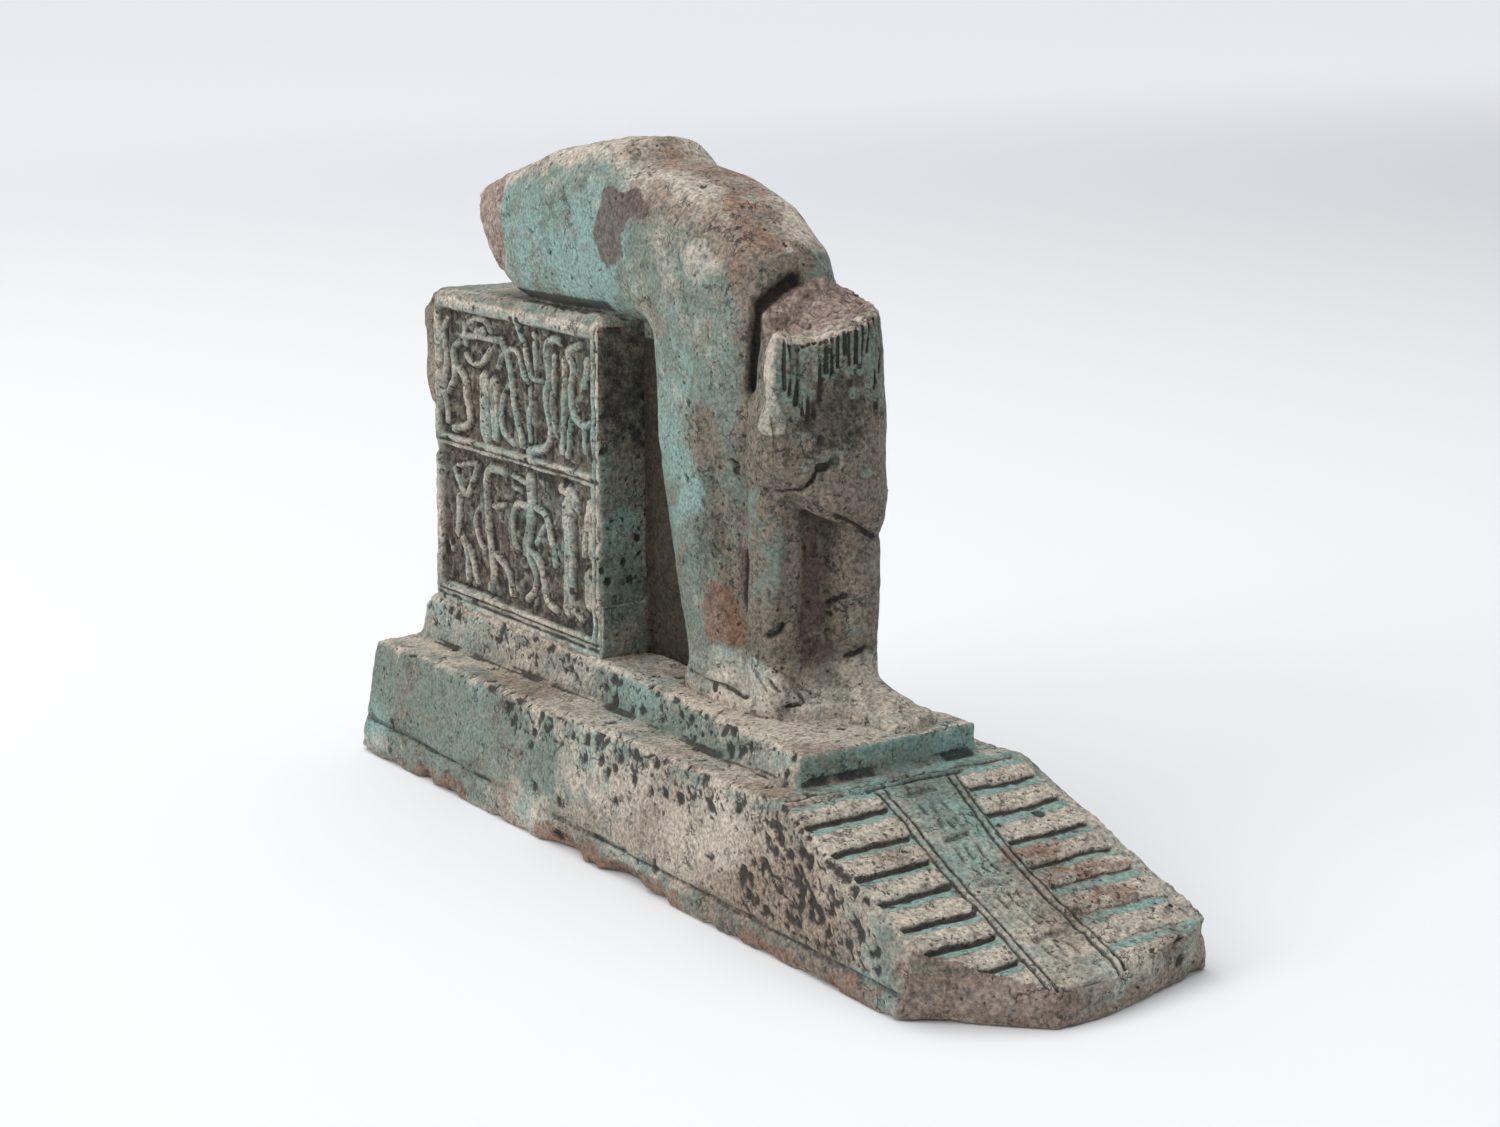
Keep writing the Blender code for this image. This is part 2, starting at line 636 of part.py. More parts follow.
def strip_cutters(collection):
    """The double lines that frame the strip, and the line across the ramp's head."""
    head, foot = ramp_shares()
    start = head * 0.5
    for side in (-1, 1):
        for line, edge in enumerate((STRIP_WIDTH / 2 + STRIP_RIB * 0.5, STRIP_WIDTH / 2 - STRIP_RIB * 0.6)):

            def surface(u, v, above, x=STRIP_SIDE + side * edge):
                return ramp_point(start + (foot - start) * u, x, above)

            bm = stroke(((0, 0), (1, 0)), MARK_WIDTH, MARK_DEPTH, MARK_DEPTH, surface, wide_foot=False)
            place(f"strip_line_{side}_{line}", bm, collection)

    def across(u, v, above):
        return ramp_point(start, u * (PLINTH_TOP_FRONT_WIDTH / 2 - RAMP_NEAR_MARGIN), above)

    bm = stroke(((-1, 0), (1, 0)), MARK_WIDTH, MARK_DEPTH * 1.2, MARK_DEPTH * 1.2, across, wide_foot=False)
    place("head_line", bm, collection)


def mark_cutters(collection):
    """Rows of short shallow strokes down the strip."""
    draw = random.Random(7)
    head, foot = ramp_shares()
    pitch = (foot - head) / MARK_ROWS
    reach = STRIP_WIDTH / 2 - STRIP_RIB * 1.4

    def surface(u, v, above):
        return ramp_point(v, STRIP_SIDE + u, above)

    for row in range(MARK_ROWS):
        across = row % 3 == 1
        middle = head + pitch * (row + 0.5 + draw.uniform(-0.06, 0.06))
        for n, share in enumerate((-0.5, 0.5) if across else (-0.72, 0, 0.72)):
            half = (0.36 * reach, 0) if across else (0, pitch * 0.3)
            ends = [(share * reach + sign * half[0], middle + sign * half[1]) for sign in (-1, 1)]
            bm = stroke(ends, MARK_WIDTH, MARK_DEPTH, MARK_DEPTH, surface, wide_foot=False)
            place(f"mark_{row}_{n}", bm, collection)


def skirt_cutters(collection):
    """The thin line cut along the plinth's sides above its foot."""
    end = PLINTH_LENGTH - NEAR_CORNER_LOSS_ALONG * 0.2
    for side in (-1, 1):

        def surface(u, v, above, side=side):
            z = SKIRT_BACK_HEIGHT + (SKIRT_FRONT_HEIGHT - SKIRT_BACK_HEIGHT) * u
            return Vector((side * (plinth_half_width(end * u, z) + above), from_back(end * u), z))

        bm = stroke(((-0.02, 0), (1, 0)), SKIRT_GROOVE * 1.6, SKIRT_GROOVE, SKIRT_GROOVE, surface, wide_foot=False)
        place(f"skirt_{side}", bm, collection)


def lump(name, centre, radii, seed, collection):
    """A rough rounded cutter, for a chip."""
    bm = bmesh.new()
    bmesh.ops.create_icosphere(bm, subdivisions=2, radius=1)
    for vert in bm.verts:
        vert.co *= 1 + 0.16 * noise.noise(vert.co * 1.7 + Vector((seed * 3.1, 0, 0)))
    bmesh.ops.scale(bm, vec=radii, verts=bm.verts)
    bmesh.ops.translate(bm, vec=centre, verts=bm.verts)
    place(name, bm, collection)


def corner_cutter(name, side, along, across, collection):
    """A wedge that takes a front corner off the plinth, leaning out a little towards its top."""
    edge, front = side * PLINTH_FOOT_WIDTH / 2, from_back(PLINTH_LENGTH)
    on_side = Vector((edge, front + along, 0))
    on_front = Vector((edge - side * across, front, 0))
    run = (on_front - on_side) * 0.6
    outside = Vector((side * PLINTH_FOOT_WIDTH, -PLINTH_FOOT_WIDTH / 2, 0))
    plan = [on_side - run, on_front + run, (on_side + on_front) / 2 + outside]
    lean = outside.normalized() * PLINTH_FRONT_HEIGHT * 0.12
    up = Vector((0, 0, PLINTH_FRONT_HEIGHT))
    place(name, loft([[point - up - lean for point in plan], [point + up + lean for point in plan]]), collection)


# Chips along the plinth's foot: side, place along it, length and size
CHIPS = (
    (-1, 0.142, 0.55, 0.7),
    (-1, 0.200, 0.45, 0.5),
    (-1, 0.415, 1.30, 0.8),
    (-1, 0.515, 1.60, 0.9),
    (-1, 0.575, 0.60, 0.6),
    (-1, 0.740, 0.80, 0.4),
    (1, 0.100, 0.90, 0.8),
    (1, 0.480, 1.20, 0.6),
    (1, 0.780, 0.70, 0.7),
)


def loss_cutters(collection):
    """The broken front corners and the chips along the plinth's foot."""
    corner_cutter("near_corner", -1, NEAR_CORNER_LOSS_ALONG, NEAR_CORNER_LOSS_ACROSS, collection)
    corner_cutter("far_corner", 1, FAR_CORNER_LOSS_ALONG, FAR_CORNER_LOSS_ACROSS, collection)
    for i, (side, along, length, size) in enumerate(CHIPS):
        x = side * (PLINTH_FOOT_WIDTH / 2 + CHIP_SIZE * 0.15)
        centre = Vector((x, from_back(PLINTH_LENGTH * along), -CHIP_SIZE * 0.1))
        lump(f"chip_{i}", centre, (CHIP_SIZE * size * 0.8, CHIP_SIZE * length, CHIP_SIZE * size), i, collection)


def faience_material():
    made = bpy.data.materials.new("glazed_faience")
    made.use_nodes = True
    shader = made.node_tree.nodes["Principled BSDF"]
    shader.inputs["Base Color"].default_value = (0.19, 0.30, 0.26, 1)
    shader.inputs["Roughness"].default_value = 0.7
    shader.inputs["Metallic"].default_value = 0
    return made


def join(target, operation, collection):
    """A Boolean of the target with everything in a collection."""
    boolean = target.modifiers.new(collection.name, "BOOLEAN")
    boolean.operation = operation
    boolean.operand_type = "COLLECTION"
    boolean.collection = collection
    boolean.solver = "EXACT"


def main():
    clear_scene()
    parts = make_collection(NODE, hidden=False)
    forms = make_collection("forms", hidden=True)
    cutters = make_collection("cutters", hidden=True)
    relief = make_collection("relief", hidden=True)

    figurine = plinth_form(parts)
    slab_form(forms)
    throne_form(forms)
    back_remnant_form(forms)
    figure_forms(forms)
    panel_cutters(cutters)
    step_cutters(cutters)
    strip_cutters(cutters)
    mark_cutters(cutters)
    skirt_cutters(cutters)
    loss_cutters(cutters)
    relief_forms(relief)

    join(figurine, "UNION", forms)
    join(figurine, "DIFFERENCE", cutters)
    join(figurine, "UNION", relief)
    figurine.data.materials.append(faience_material())
    figurine.data.shade_smooth()
    figurine.data.set_sharp_from_angle(angle=math.radians(35))


main()
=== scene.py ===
import itertools
import math
import random

import bmesh
import bpy
import numpy as np
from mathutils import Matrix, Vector, kdtree


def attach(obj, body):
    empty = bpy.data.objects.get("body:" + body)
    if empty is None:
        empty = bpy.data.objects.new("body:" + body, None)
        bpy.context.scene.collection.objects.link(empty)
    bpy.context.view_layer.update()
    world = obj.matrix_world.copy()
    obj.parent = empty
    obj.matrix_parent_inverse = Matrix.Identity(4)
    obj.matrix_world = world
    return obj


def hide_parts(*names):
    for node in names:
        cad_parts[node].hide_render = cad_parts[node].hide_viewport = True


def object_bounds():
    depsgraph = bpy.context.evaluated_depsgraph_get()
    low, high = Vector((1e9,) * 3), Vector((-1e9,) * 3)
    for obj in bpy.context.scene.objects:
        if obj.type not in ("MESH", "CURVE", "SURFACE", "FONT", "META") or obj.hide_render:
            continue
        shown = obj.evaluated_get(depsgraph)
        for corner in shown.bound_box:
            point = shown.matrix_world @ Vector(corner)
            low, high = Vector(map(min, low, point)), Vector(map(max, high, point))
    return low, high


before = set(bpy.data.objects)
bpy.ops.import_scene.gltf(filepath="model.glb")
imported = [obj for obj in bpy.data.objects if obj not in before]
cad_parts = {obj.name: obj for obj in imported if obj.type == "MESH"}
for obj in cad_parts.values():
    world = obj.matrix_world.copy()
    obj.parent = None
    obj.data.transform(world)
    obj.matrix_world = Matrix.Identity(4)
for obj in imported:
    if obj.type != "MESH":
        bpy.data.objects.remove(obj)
cadLow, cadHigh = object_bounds()

# Places are (x, d, z) in millimetres, d forward from the plinth's back edge
rear = cadHigh.y * 1000
slabTop, throneEnd = 18.1, 40.9
seatBack, seatFront = 54.03, 54.85  # Height of the seat at the object's back and the throne's front
behind, before, over, beneath = -9, 130, 90, -3  # Past the object on every side


# Fields over places

def cloud(places, size, seed):
    # Smooth noise between -1 and 1, whose grain is size mm
    scaled = places / size + seed * 7.31
    cell = np.floor(scaled).astype(np.int64)
    blend = scaled - cell
    blend = blend * blend * (3 - 2 * blend)
    total = np.zeros(len(places))
    for corner in itertools.product((0, 1), repeat=3):
        key = (cell + corner) @ np.array((73856093, 19349663, 83492791))
        key = (key ^ (key >> 13)) * 1274126177
        value = ((key ^ (key >> 16)) & 1048575) / 524287.5 - 1
        total += value * np.prod(np.where(corner, blend, 1 - blend), axis=1)
    return total


def rise(low, high, value):
    share = np.clip((value - low) / (high - low), 0, 1)
    return share * share * (3 - 2 * share)


def band(low, high, soft, value):
    return rise(low - soft, low + soft, value) * (1 - rise(high - soft, high + soft, value))


def blob(places, centre, radii, ragged=0.35, grain=2.0, seed=1):
    # A soft patch with a ragged outline
    away = np.sqrt((((places - np.array(centre)) / np.array(radii)) ** 2).sum(axis=1))
    return 1 - rise(0.65, 1.1, away + ragged * cloud(places, grain, seed))


def patches(places, spots):
    # Sum of patches given as (amount, middle, radii, seed)
    return sum(amount * blob(places, middle, radii, seed=seed) for amount, middle, radii, seed in spots)


def most(*fields):
    return np.maximum.reduce(np.broadcast_arrays(*fields))


def rounded(line):
    # Cuts the line's corners twice
    for _ in range(2):
        cut = [line[0]]
        for start, end in zip(line, line[1:]):
            start, end = np.array(start, float), np.array(end, float)
            cut += [start * 0.75 + end * 0.25, start * 0.25 + end * 0.75]
        line = cut + [line[-1]]
    return line


def lineDistance(points, line):
    best = np.full(len(points), 1e9)
    for start, end in zip(line, line[1:]):
        start, run = np.array(start, float), np.array(end, float) - np.array(start, float)
        share = np.clip((points - start) @ run / max(run @ run, 1e-12), 0, 1)
        gap = points - start - share[:, None] * run
        best = np.minimum(best, np.sqrt((gap ** 2).sum(axis=1)))
    return best


# Meshes

def evaluatedMesh(obj):
    bpy.context.view_layer.update()
    graph = bpy.context.evaluated_depsgraph_get()
    return bpy.data.meshes.new_from_object(obj.evaluated_get(graph))


def newObject(name, data):
    made = bpy.data.objects.new(name, data)
    bpy.context.scene.collection.objects.link(made)
    return made


def fromBmesh(name, bm):
    mesh = bpy.data.meshes.new(name)
    bm.to_mesh(mesh)
    bm.free()
    return newObject(name, mesh)


def prism(outline):
    # A block with the given outline of (d, z), wider than the whole object
    halfWidth = 30
    bm = bmesh.new()
    corners = [bm.verts.new((-halfWidth / 1000, (rear - d) / 1000, z / 1000)) for d, z in outline]
    grown = bmesh.ops.extrude_face_region(bm, geom=[bm.faces.new(corners)])["geom"]
    moved = [item for item in grown if isinstance(item, bmesh.types.BMVert)]
    bmesh.ops.translate(bm, verts=moved, vec=(halfWidth / 500, 0, 0))
    bmesh.ops.recalc_face_normals(bm, faces=bm.faces)
    return fromBmesh("prism", bm)


def solidPart(outline, flatten):
    # The part of the CAD solid inside the outline, with its coarse carving filled by flatten
    bm = bmesh.new()
    bm.from_mesh(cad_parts["figurine"].data)
    bmesh.ops.remove_doubles(bm, verts=bm.verts, dist=2e-6)
    bmesh.ops.recalc_face_normals(bm, faces=bm.faces)
    whole = fromBmesh("whole", bm)
    cutter = prism(outline)
    cut = whole.modifiers.new("cut", "BOOLEAN")
    cut.operation = "INTERSECT"
    cut.object = cutter
    cut.solver = "EXACT"
    part = evaluatedMesh(whole)
    bpy.data.objects.remove(whole)
    bpy.data.objects.remove(cutter)
    places = toPlaces(part)
    flatten(places)
    setPlaces(part, places)
    return part


def withBlock(mesh, low, high):
    # The mesh with a block added, which the remesh joins to it
    bm = bmesh.new()
    bm.from_mesh(mesh)
    first = Vector((low[0], rear - high[1], low[2])) / 1000
    last = Vector((high[0], rear - low[1], high[2])) / 1000
    made = bmesh.ops.create_cube(bm, size=1)["verts"]
    bmesh.ops.scale(bm, verts=made, vec=last - first)
    bmesh.ops.translate(bm, verts=made, vec=(first + last) / 2)
    bm.to_mesh(mesh)
    bm.free()
    return mesh


def remeshed(name, part, voxel):
    rough = newObject("rough", part)
    remesh = rough.modifiers.new("remesh", "REMESH")
    remesh.mode = "VOXEL"
    remesh.voxel_size = voxel / 1000
    mesh = evaluatedMesh(rough)
    bpy.data.objects.remove(rough)
    mesh.name = name
    return newObject(name, mesh)


def split(obj, chosen):
    # Halves the faces whose middle is chosen, for finer carving there
    bm = bmesh.new()
    bm.from_mesh(obj.data)
    found = []
    for face in bm.faces:
        x, y, z = face.calc_center_median() * 1000
        if chosen(x, rear - y, z):
            found.append(face)
    edges = list({edge for face in found for edge in face.edges})
    bmesh.ops.subdivide_edges(bm, edges=edges, cuts=1, use_grid_fill=True)
    bm.to_mesh(obj.data)
    bm.free()


def rows(items, name, width, kind=float):
    raw = np.empty(len(items) * width, kind)
    items.foreach_get(name, raw)
    return raw.reshape(-1, width)


def toPlaces(mesh):
    places = rows(mesh.vertices, "co", 3) * 1000
    places[:, 1] = rear - places[:, 1]
    return places


def setPlaces(mesh, places):
    raw = places.copy()
    raw[:, 1] = rear - raw[:, 1]
    mesh.vertices.foreach_set("co", (raw / 1000).ravel())
    mesh.update()


def facing(mesh):
    # Vertex normals with d forward, as in places
    return rows(mesh.vertices, "normal", 3) * (1, -1, 1)


def relax(places, edges, rounds, share=0.5):
    count = len(places)
    reach = np.bincount(edges.ravel(), minlength=count)[:, None]
    for _ in range(rounds):
        total = np.empty_like(places)
        for axis in range(3):
            forward = np.bincount(edges[:, 0], places[edges[:, 1], axis], count)
            total[:, axis] = forward + np.bincount(edges[:, 1], places[edges[:, 0], axis], count)
        places = places + share * (total / reach - places)
    return places


def bulge(places, normals, edges, rounds):
    # Positive on edges that stand out and negative in creases, in mm
    return ((places - relax(places, edges, rounds)) * normals).sum(axis=1)


def surface(obj, reach):
    # The mesh, its edges, places and normals, and how far each place stands out
    mesh = obj.data
    edges, places, normals = rows(mesh.edges, "vertices", 2, np.int32), toPlaces(mesh), facing(mesh)
    return mesh, edges, places, normals, bulge(places, normals, edges, reach)


def grain(places, values):
    # The soft unevenness of a pressed and fired surface
    height = values["swell"] * cloud(places, 7.0, 1) + values["lump"] * cloud(places, 2.4, 2)
    return height + values["fine"] * cloud(places, 0.9, 3) + values["rough"] * cloud(places, 0.45, 4)


def pitted(places, chance, values, seed):
    # Small craters at random places. Returns their depth and how dark each point is
    draw = random.Random(seed)
    tree = kdtree.KDTree(len(places))
    for i, place in enumerate(places):
        tree.insert(place, i)
    tree.balance()
    warp = 1 + 0.5 * cloud(places, 0.7, seed)
    depth, dark = np.zeros(len(places)), np.zeros(len(places))
    for _ in range(values["tries"]):
        middle = draw.randrange(len(places))
        size = values["small"] + (values["large"] - values["small"]) * draw.random() ** 3
        if draw.random() > chance[middle]:
            continue
        for place, i, away in tree.find_range(places[middle], size):
            share = max(0, 1 - (away * warp[i] / size) ** 2)
            depth[i] = max(depth[i], size * values["deep"] * share)
            dark[i] = max(dark[i], min(1, share * 1.6))
    return depth, dark


def chipped(places, low, high, size, seed):
    # Share of an edge that is chipped away
    return rise(low, high, cloud(places, size, seed) + 0.4 * cloud(places, 0.9, seed + 1))


def paint(mesh, **layers):
    # Each layer holds three masks between 0 and 1
    for name, masks in layers.items():
        colour = np.ones((len(mesh.vertices), 4))
        for channel, mask in enumerate(masks):
            colour[:, channel] = mask
        layer = mesh.color_attributes.new(name=name, type="FLOAT_COLOR", domain="POINT")
        layer.data.foreach_set("color", np.clip(colour, 0, 1).ravel())


def inside(places):
    # Keeps every point inside the CAD box
    low = np.array((cadLow.x * 1000, 0, 0)) + 0.005
    high = np.array((cadHigh.x * 1000, rear * 2, cadHigh.z * 1000)) - 0.005
    return np.clip(places, low, high)


# Plinth, slab and ramp

plinthLook = {
    "voxel": 0.40, "swell": 0.10, "lump": 0.07, "fine": 0.05, "rough": 0.03,
    "tries": 26000, "small": 0.16, "large": 0.80, "deep": 0.5,
    "groove": 0.35, "tread": 0.62, "mark": 0.35, "chip": 0.40, "worn": 0.28,
}
rampStart, rampEnd = 85.4, 114.6
rampHigh, rampLow = 14.9, 3.8
rampSlope = math.atan2(rampHigh - rampLow, rampEnd - rampStart)
rampOut = np.array((0, math.sin(rampSlope), math.cos(rampSlope)))
rampHead = np.array((0, rampStart, rampHigh))
nearRisers = (86.0, 88.8, 93.0, 96.5, 99.8, 103.6, 106.7, 110.0, 113.4)
farRisers = (85.6, 88.4, 92.2, 96.2, 99.7, 102.7, 106.6, 110.5, 113.9)
# The strip's two sides, as (d, x)
stripNear = ((85.4, -4.2), (92.3, -4.7), (98.0, -5.5), (106.8, -5.7), (116, -6.2))
stripFar = ((85.4, 5.6), (92.3, 4.1), (97.9, 3.2), (103, 2.9), (112, 3.0), (116, 3.0))
headLines = ((85.35, -13.6, 13.2), (86.1, -5.0, 6.5))  # Across the ramp's head, as (d, x, x)
# Bare patches as (amount, middle, radii, seed), rust as (d, length) along the foot and as middles
plinthBare = (
    (0.5, (-15, 74, 8), (6, 24, 6), 5), (-0.5, (-15, 20, 8), (6, 30, 8), 6),
    (-0.7, (0, 84.5, 14.5), (15, 2.2, 2), 8),
)
footRust = ((17, 5), (23, 4), (48, 8), (59, 9), (66, 5), (85, 5), (99, 6))
rampRust = ((5.5, 97.8, 10), (8.5, 101.8, 8), (9.5, 105.4, 7))


def flattenPlinth(places):
    above = (places - rampHead) @ rampOut
    carved = (above < -0.005) & (above > -1.0) & (places[:, 1] > rampStart) & (places[:, 2] > 2.6)
    places[carved] -= above[carved, None] * rampOut


def stripMarks(x, d, left, right):
    # Rows of shallow strokes down the middle of the ramp
    draw = random.Random(7)
    middle, reach = (left + right) / 2, (right - left) / 2 - 1.3
    flat = np.column_stack(((x - middle) / reach * 3, d))
    cut = np.zeros(len(x))
    at = 88.0
    for row in range(11):
        reach = draw.uniform(0.6, 1.0)
        if row % 3 == 0:
            start = (-2.3, at + draw.uniform(-0.2, 0.2))
            lines = [(start, (draw.uniform(0.8, 2.3), at + draw.uniform(-0.3, 0.3)))]
        elif row % 3 == 1:
            lines = [((i + draw.uniform(-0.2, 0.2), at - reach),
                (i + draw.uniform(-0.2, 0.2), at + reach)) for i in (-1.7, 0, 1.7)]
        else:
            lines = [((i, at), (i + 0.3, at + draw.uniform(0.2, 0.9))) for i in (-1.4, 0.2, 1.6)]
        for line in lines:
            cut = np.maximum(cut, draw.uniform(0.7, 1) * (1 - rise(0.16, 0.52, lineDistance(flat, line))))
        at += draw.uniform(1.9, 2.6)
    return cut * (np.abs(flat[:, 0]) < 3)


def rampShape(places):
    # Height over the ramp's plane, and how dark, glazed and pale it is. The dark at each riser is deposit and
    # painted shade; the pale tread tops are bare body and painted light from above
    x = places[:, 0] + 0.12 * cloud(places, 2.0, 11)
    d = places[:, 1] + 0.25 * cloud(places, 3.0, 12) + 0.10 * cloud(places, 0.9, 13)
    left, right = (np.interp(d, *zip(*side)) for side in (stripNear, stripFar))
    height, dark, glazed, pale = (np.zeros(len(x)) for _ in range(4))
    flights = ((nearRisers, left - x, x + 14.5, 1.0), (farRisers, x - right, 13.6 - x, 0.8))
    for risers, inner, outer, depth in flights:
        index = np.clip(np.searchsorted(risers, d) - 1, 0, len(risers) - 2)
        risers = np.array(risers)
        part = (d - risers[index]) / (risers[index + 1] - risers[index])
        on = band(risers[0], risers[-1], 0.15, d) * rise(0.1, 0.45, inner) * rise(0, 0.5, outer)
        drop = depth * (1 - 0.45 * rise(99, 106, d) * (depth < 1)) * np.where(index == 0, 0.4, 1)
        height -= on * plinthLook["tread"] * drop * (1 - rise(0.02, 0.46, part))
        height -= on * 0.14 * rise(0.84, 1.0, part)
        # Deposit and painted shade at each riser
        dark += on * drop * np.maximum(1 - rise(0.06, 0.18, part), 0.6 * rise(0.965, 1.0, part))
        glazed += on * band(0.12, 0.40, 0.06, part)
        # Bare body and painted light on the tread tops
        pale += on * rise(0.40, 0.55, part)
    for edge, out in ((left, 1), (right, -1)):
        for away in (0.05, 0.95):
            line = 1 - rise(0.08, 0.30, np.abs(x - edge - out * away))
            dark = np.maximum(dark, 0.75 * line * rise(86, 86.6, d))
            height -= 0.30 * line * rise(86, 86.6, d)
    cut = stripMarks(x, d, left + 0.9, right - 0.9)
    for at, first, last in headLines:
        head = (1 - rise(0.10, 0.30, np.abs(d - at))) * band(first, last, 0.3, x)
        cut = np.maximum(cut, head)
    height -= plinthLook["mark"] * cut
    dark = np.maximum(dark, 0.58 * cut)
    worn = rise(99, 108, d) * rise(-8, 2, x) + 0.4
    height += plinthLook["worn"] * worn * (0.6 * cloud(places, 1.3, 14) + 0.4 * cloud(places, 0.7, 15))
    return height, dark, glazed, pale


def nearRamp(x, d, z):
    return d > rampStart - 0.8 and abs((np.array((x, d, z)) - rampHead) @ rampOut) < 0.5


def makePlinth():
    outline = ((behind, beneath), (before, beneath), (before, slabTop), (behind, slabTop))
    obj = remeshed("plinth", solidPart(outline, flattenPlinth), plinthLook["voxel"])
    split(obj, nearRamp)
    mesh, edges, places, normals, out = surface(obj, 12)
    places = relax(places, edges, 6)
    soft = relax(places, edges, 60)
    share = (rise(110.5, 113.5, places[:, 1]) * rise(0.3, 1.5, places[:, 2]))[:, None]
    places = places * (1 - share) + soft * share
    noise = lambda size, seed: cloud(places, size, seed)
    x, d, z = places.T
    above = (places - rampHead) @ rampOut
    faced = normals @ rampOut
    onRamp = (1 - rise(0.35, 0.6, np.abs(above))) * rise(rampStart - 0.8, rampStart - 0.3, d)
    onRamp *= rise(0.75, 0.92, faced)
    height, dark, glazed, pale = rampShape(places)
    side = rise(0.75, 0.95, np.abs(normals[:, 0]))
    upper = rise(0.6, 0.9, normals[:, 2])
    skirt = 4.1 - 1.9 * d / rampEnd + 0.2 * noise(5.0, 8)
    line = (1 - rise(0.10, 0.40, np.abs(z - skirt))) * side
    line *= rise(-0.6, 0.1, noise(9, 9) + band(45, 100, 4, d))
    edge = rise(0.02, 0.12, out)
    chips = edge * chipped(places, 0, 0.7, 2.2, 16)
    move = onRamp * height - plinthLook["groove"] * line - plinthLook["chip"] * chips * (1 - onRamp)
    near = (x < -6) * side
    topEdge = band(33, 88, 3, d) * band(10.5, 14.5, 1.2, z) * near
    rampSide = band(80, 101, 3, d) * (1 - rise(12.5 - 0.38 * (100 - d), 14, z)) * (z > 3.2) * near
    slabSide = (np.abs(x) < 10.5) * band(15.2, 17.8, 0.4, z) * side
    overTreads = (np.abs(above) < 1.2) * (d > rampStart) * (np.abs(x) < 12)
    chance = 0.03 + 0.70 * topEdge + 0.95 * rampSide + 0.20 * upper * (noise(6, 21) > 0.1)
    chance = np.maximum(chance, 0.55 * slabSide) * (z > 1) * (1 - 0.85 * onRamp)
    chance *= rise(0.1, 0.6, 0.5 + 0.5 * noise(4.0, 22)) * (1 - 0.85 * overTreads)
    pits, pitDark = pitted(places, chance, plinthLook, 31)
    frayed = rise(109.5, 113.5, d) * (1 - rise(0.90, 0.99, faced)) * rise(0.2, 1.2, z)
    move = move - 0.8 * frayed * rise(-0.1, 0.6, noise(2.8, 108))
    move = move + (grain(places, plinthLook) - pits) * rise(-0.2, 0.4, z)
    places = places + normals * move[:, None]
    setPlaces(mesh, inside(places))
    front = rise(0.3, 0.8, normals[:, 1]) * (1 - onRamp) * (d > 96)
    bare = 0.40 + 0.24 * noise(11, 41) + 0.20 * noise(3, 42) + 0.35 * edge
    bare += patches(places, plinthBare) + 0.12 * upper + 0.3 * rampSide + 0.3 * front * (x > -3)
    stripGlaze = 0.35 * band(-5.5, 5, 0.8, x) * (1 - rise(96, 104, d))
    bare += onRamp * (0.15 + 0.40 * pale - 0.65 * glazed - stripGlaze)
    bare -= 0.3 * side * (1 - rise(2.4, 3.4, z)) * band(45, 102, 5, d)
    bare += 0.5 * upper * (z > 16.5) * rise(55, 62, d) * (1 - rise(79, 82, d)) + 0.20 * upper * (1 - onRamp)
    bare -= 0.5 * rise(0.5, 0.9, normals[:, 1]) * (z > 14.8) * band(80, 86, 1, d)
    # Soil lies in patches drawn out along the object
    earth = 0.30 + 0.2 * cloud(places * np.array((1, 0.45, 1)), 2.6, 49) + 0.22 * (1 - rise(0, 2.5, z))
    earth += 0.30 * noise(6, 43) + 0.25 * upper * rise(-0.1, 0.5, noise(5, 45))
    # On the forward faces the earth is partly soil and partly painted shade
    earth += 0.35 * rampSide + 0.30 * near * band(50, 99, 6, d) * (1 - rise(5, 8, z)) + 0.3 * front
    earth += onRamp * (0.22 * rise(99, 108, d) * rise(-3, 5, x) - 0.15)
    rust = most(
        *(0.75 * blob(places, (-16, along, 0.6), (3, length, 1.6), ragged=0.6, seed=along)
            for along, length in footRust),
        *(0.7 * onRamp * blob(places, middle, (4, 1.3, 1.6), ragged=0.7, grain=1.2, seed=9)
            for middle in rampRust))
    corner = rise(0.25, 0.6, normals[:, 1]) * (d > 100) * (1 - rise(0.35, 0.6, np.abs(above)))
    fresh = 0.62 * np.maximum(front * (z < 5), corner) * (1 - rise(-5, 0, x + 2.5 * noise(3, 101)))
    glaze = 0.45 + 0.5 * noise(8, 44) + 0.6 * blob(places, (0, 83, 16), (14, 3, 3), seed=8)
    glaze += 0.5 * glazed * onRamp
    # Painted shade in the creases, multiplied into the colour by the material
    creaseShade = rise(0.02, 0.14, -out) * (1 - onRamp)
    crease = rise(0.07, 0.15, -out - 0.03 * noise(1.2, 46)) * (1 - onRamp)
    crease *= rise(-0.5, 0.1, noise(3, 46))
    dark = most(dark * onRamp, 0.62 * line, 0.80 * pitDark, 0.7 * crease)
    speck = 0.10 + 0.55 * (topEdge + slabSide + pale * onRamp) + 0.5 * rampSide
    speck += 0.35 * upper * rise(-0.3, 0.4, noise(5, 47))
    speck += 0.30 * near * rise(0.2, 0.7, noise(7, 48))
    paint(mesh, wear=(bare, earth, dark), tone=(rust, fresh, glaze), stain=(0, 0.35 * creaseShade, speck))
    return obj


# Throne and its relief

throneLook = {
    "voxel": 0.25, "swell": 0.07, "lump": 0.05, "fine": 0.04, "rough": 0.03,
    "tries": 2600, "small": 0.2, "large": 0.6, "deep": 0.5,
    "ground": 0.90, "raised": 0.70, "wrinkle": 0.42, "chip": 0.35, "cut": 0.35,
}
panelStart, panelEnd, panelFoot, panelTop = 5.5, 39.4, 19.9, 52.2
panelBar = panelFoot + (panelTop - panelFoot) * 0.53
# Soil and painted shade on the throne's front under the thigh, as (amount, middle, radii, seed)
frontSoilAndShade = ((0.9, (-4, throneEnd, 49), (7, 3, 9), 65), (0.5, (-2, throneEnd, 38), (5, 3, 5), 61))
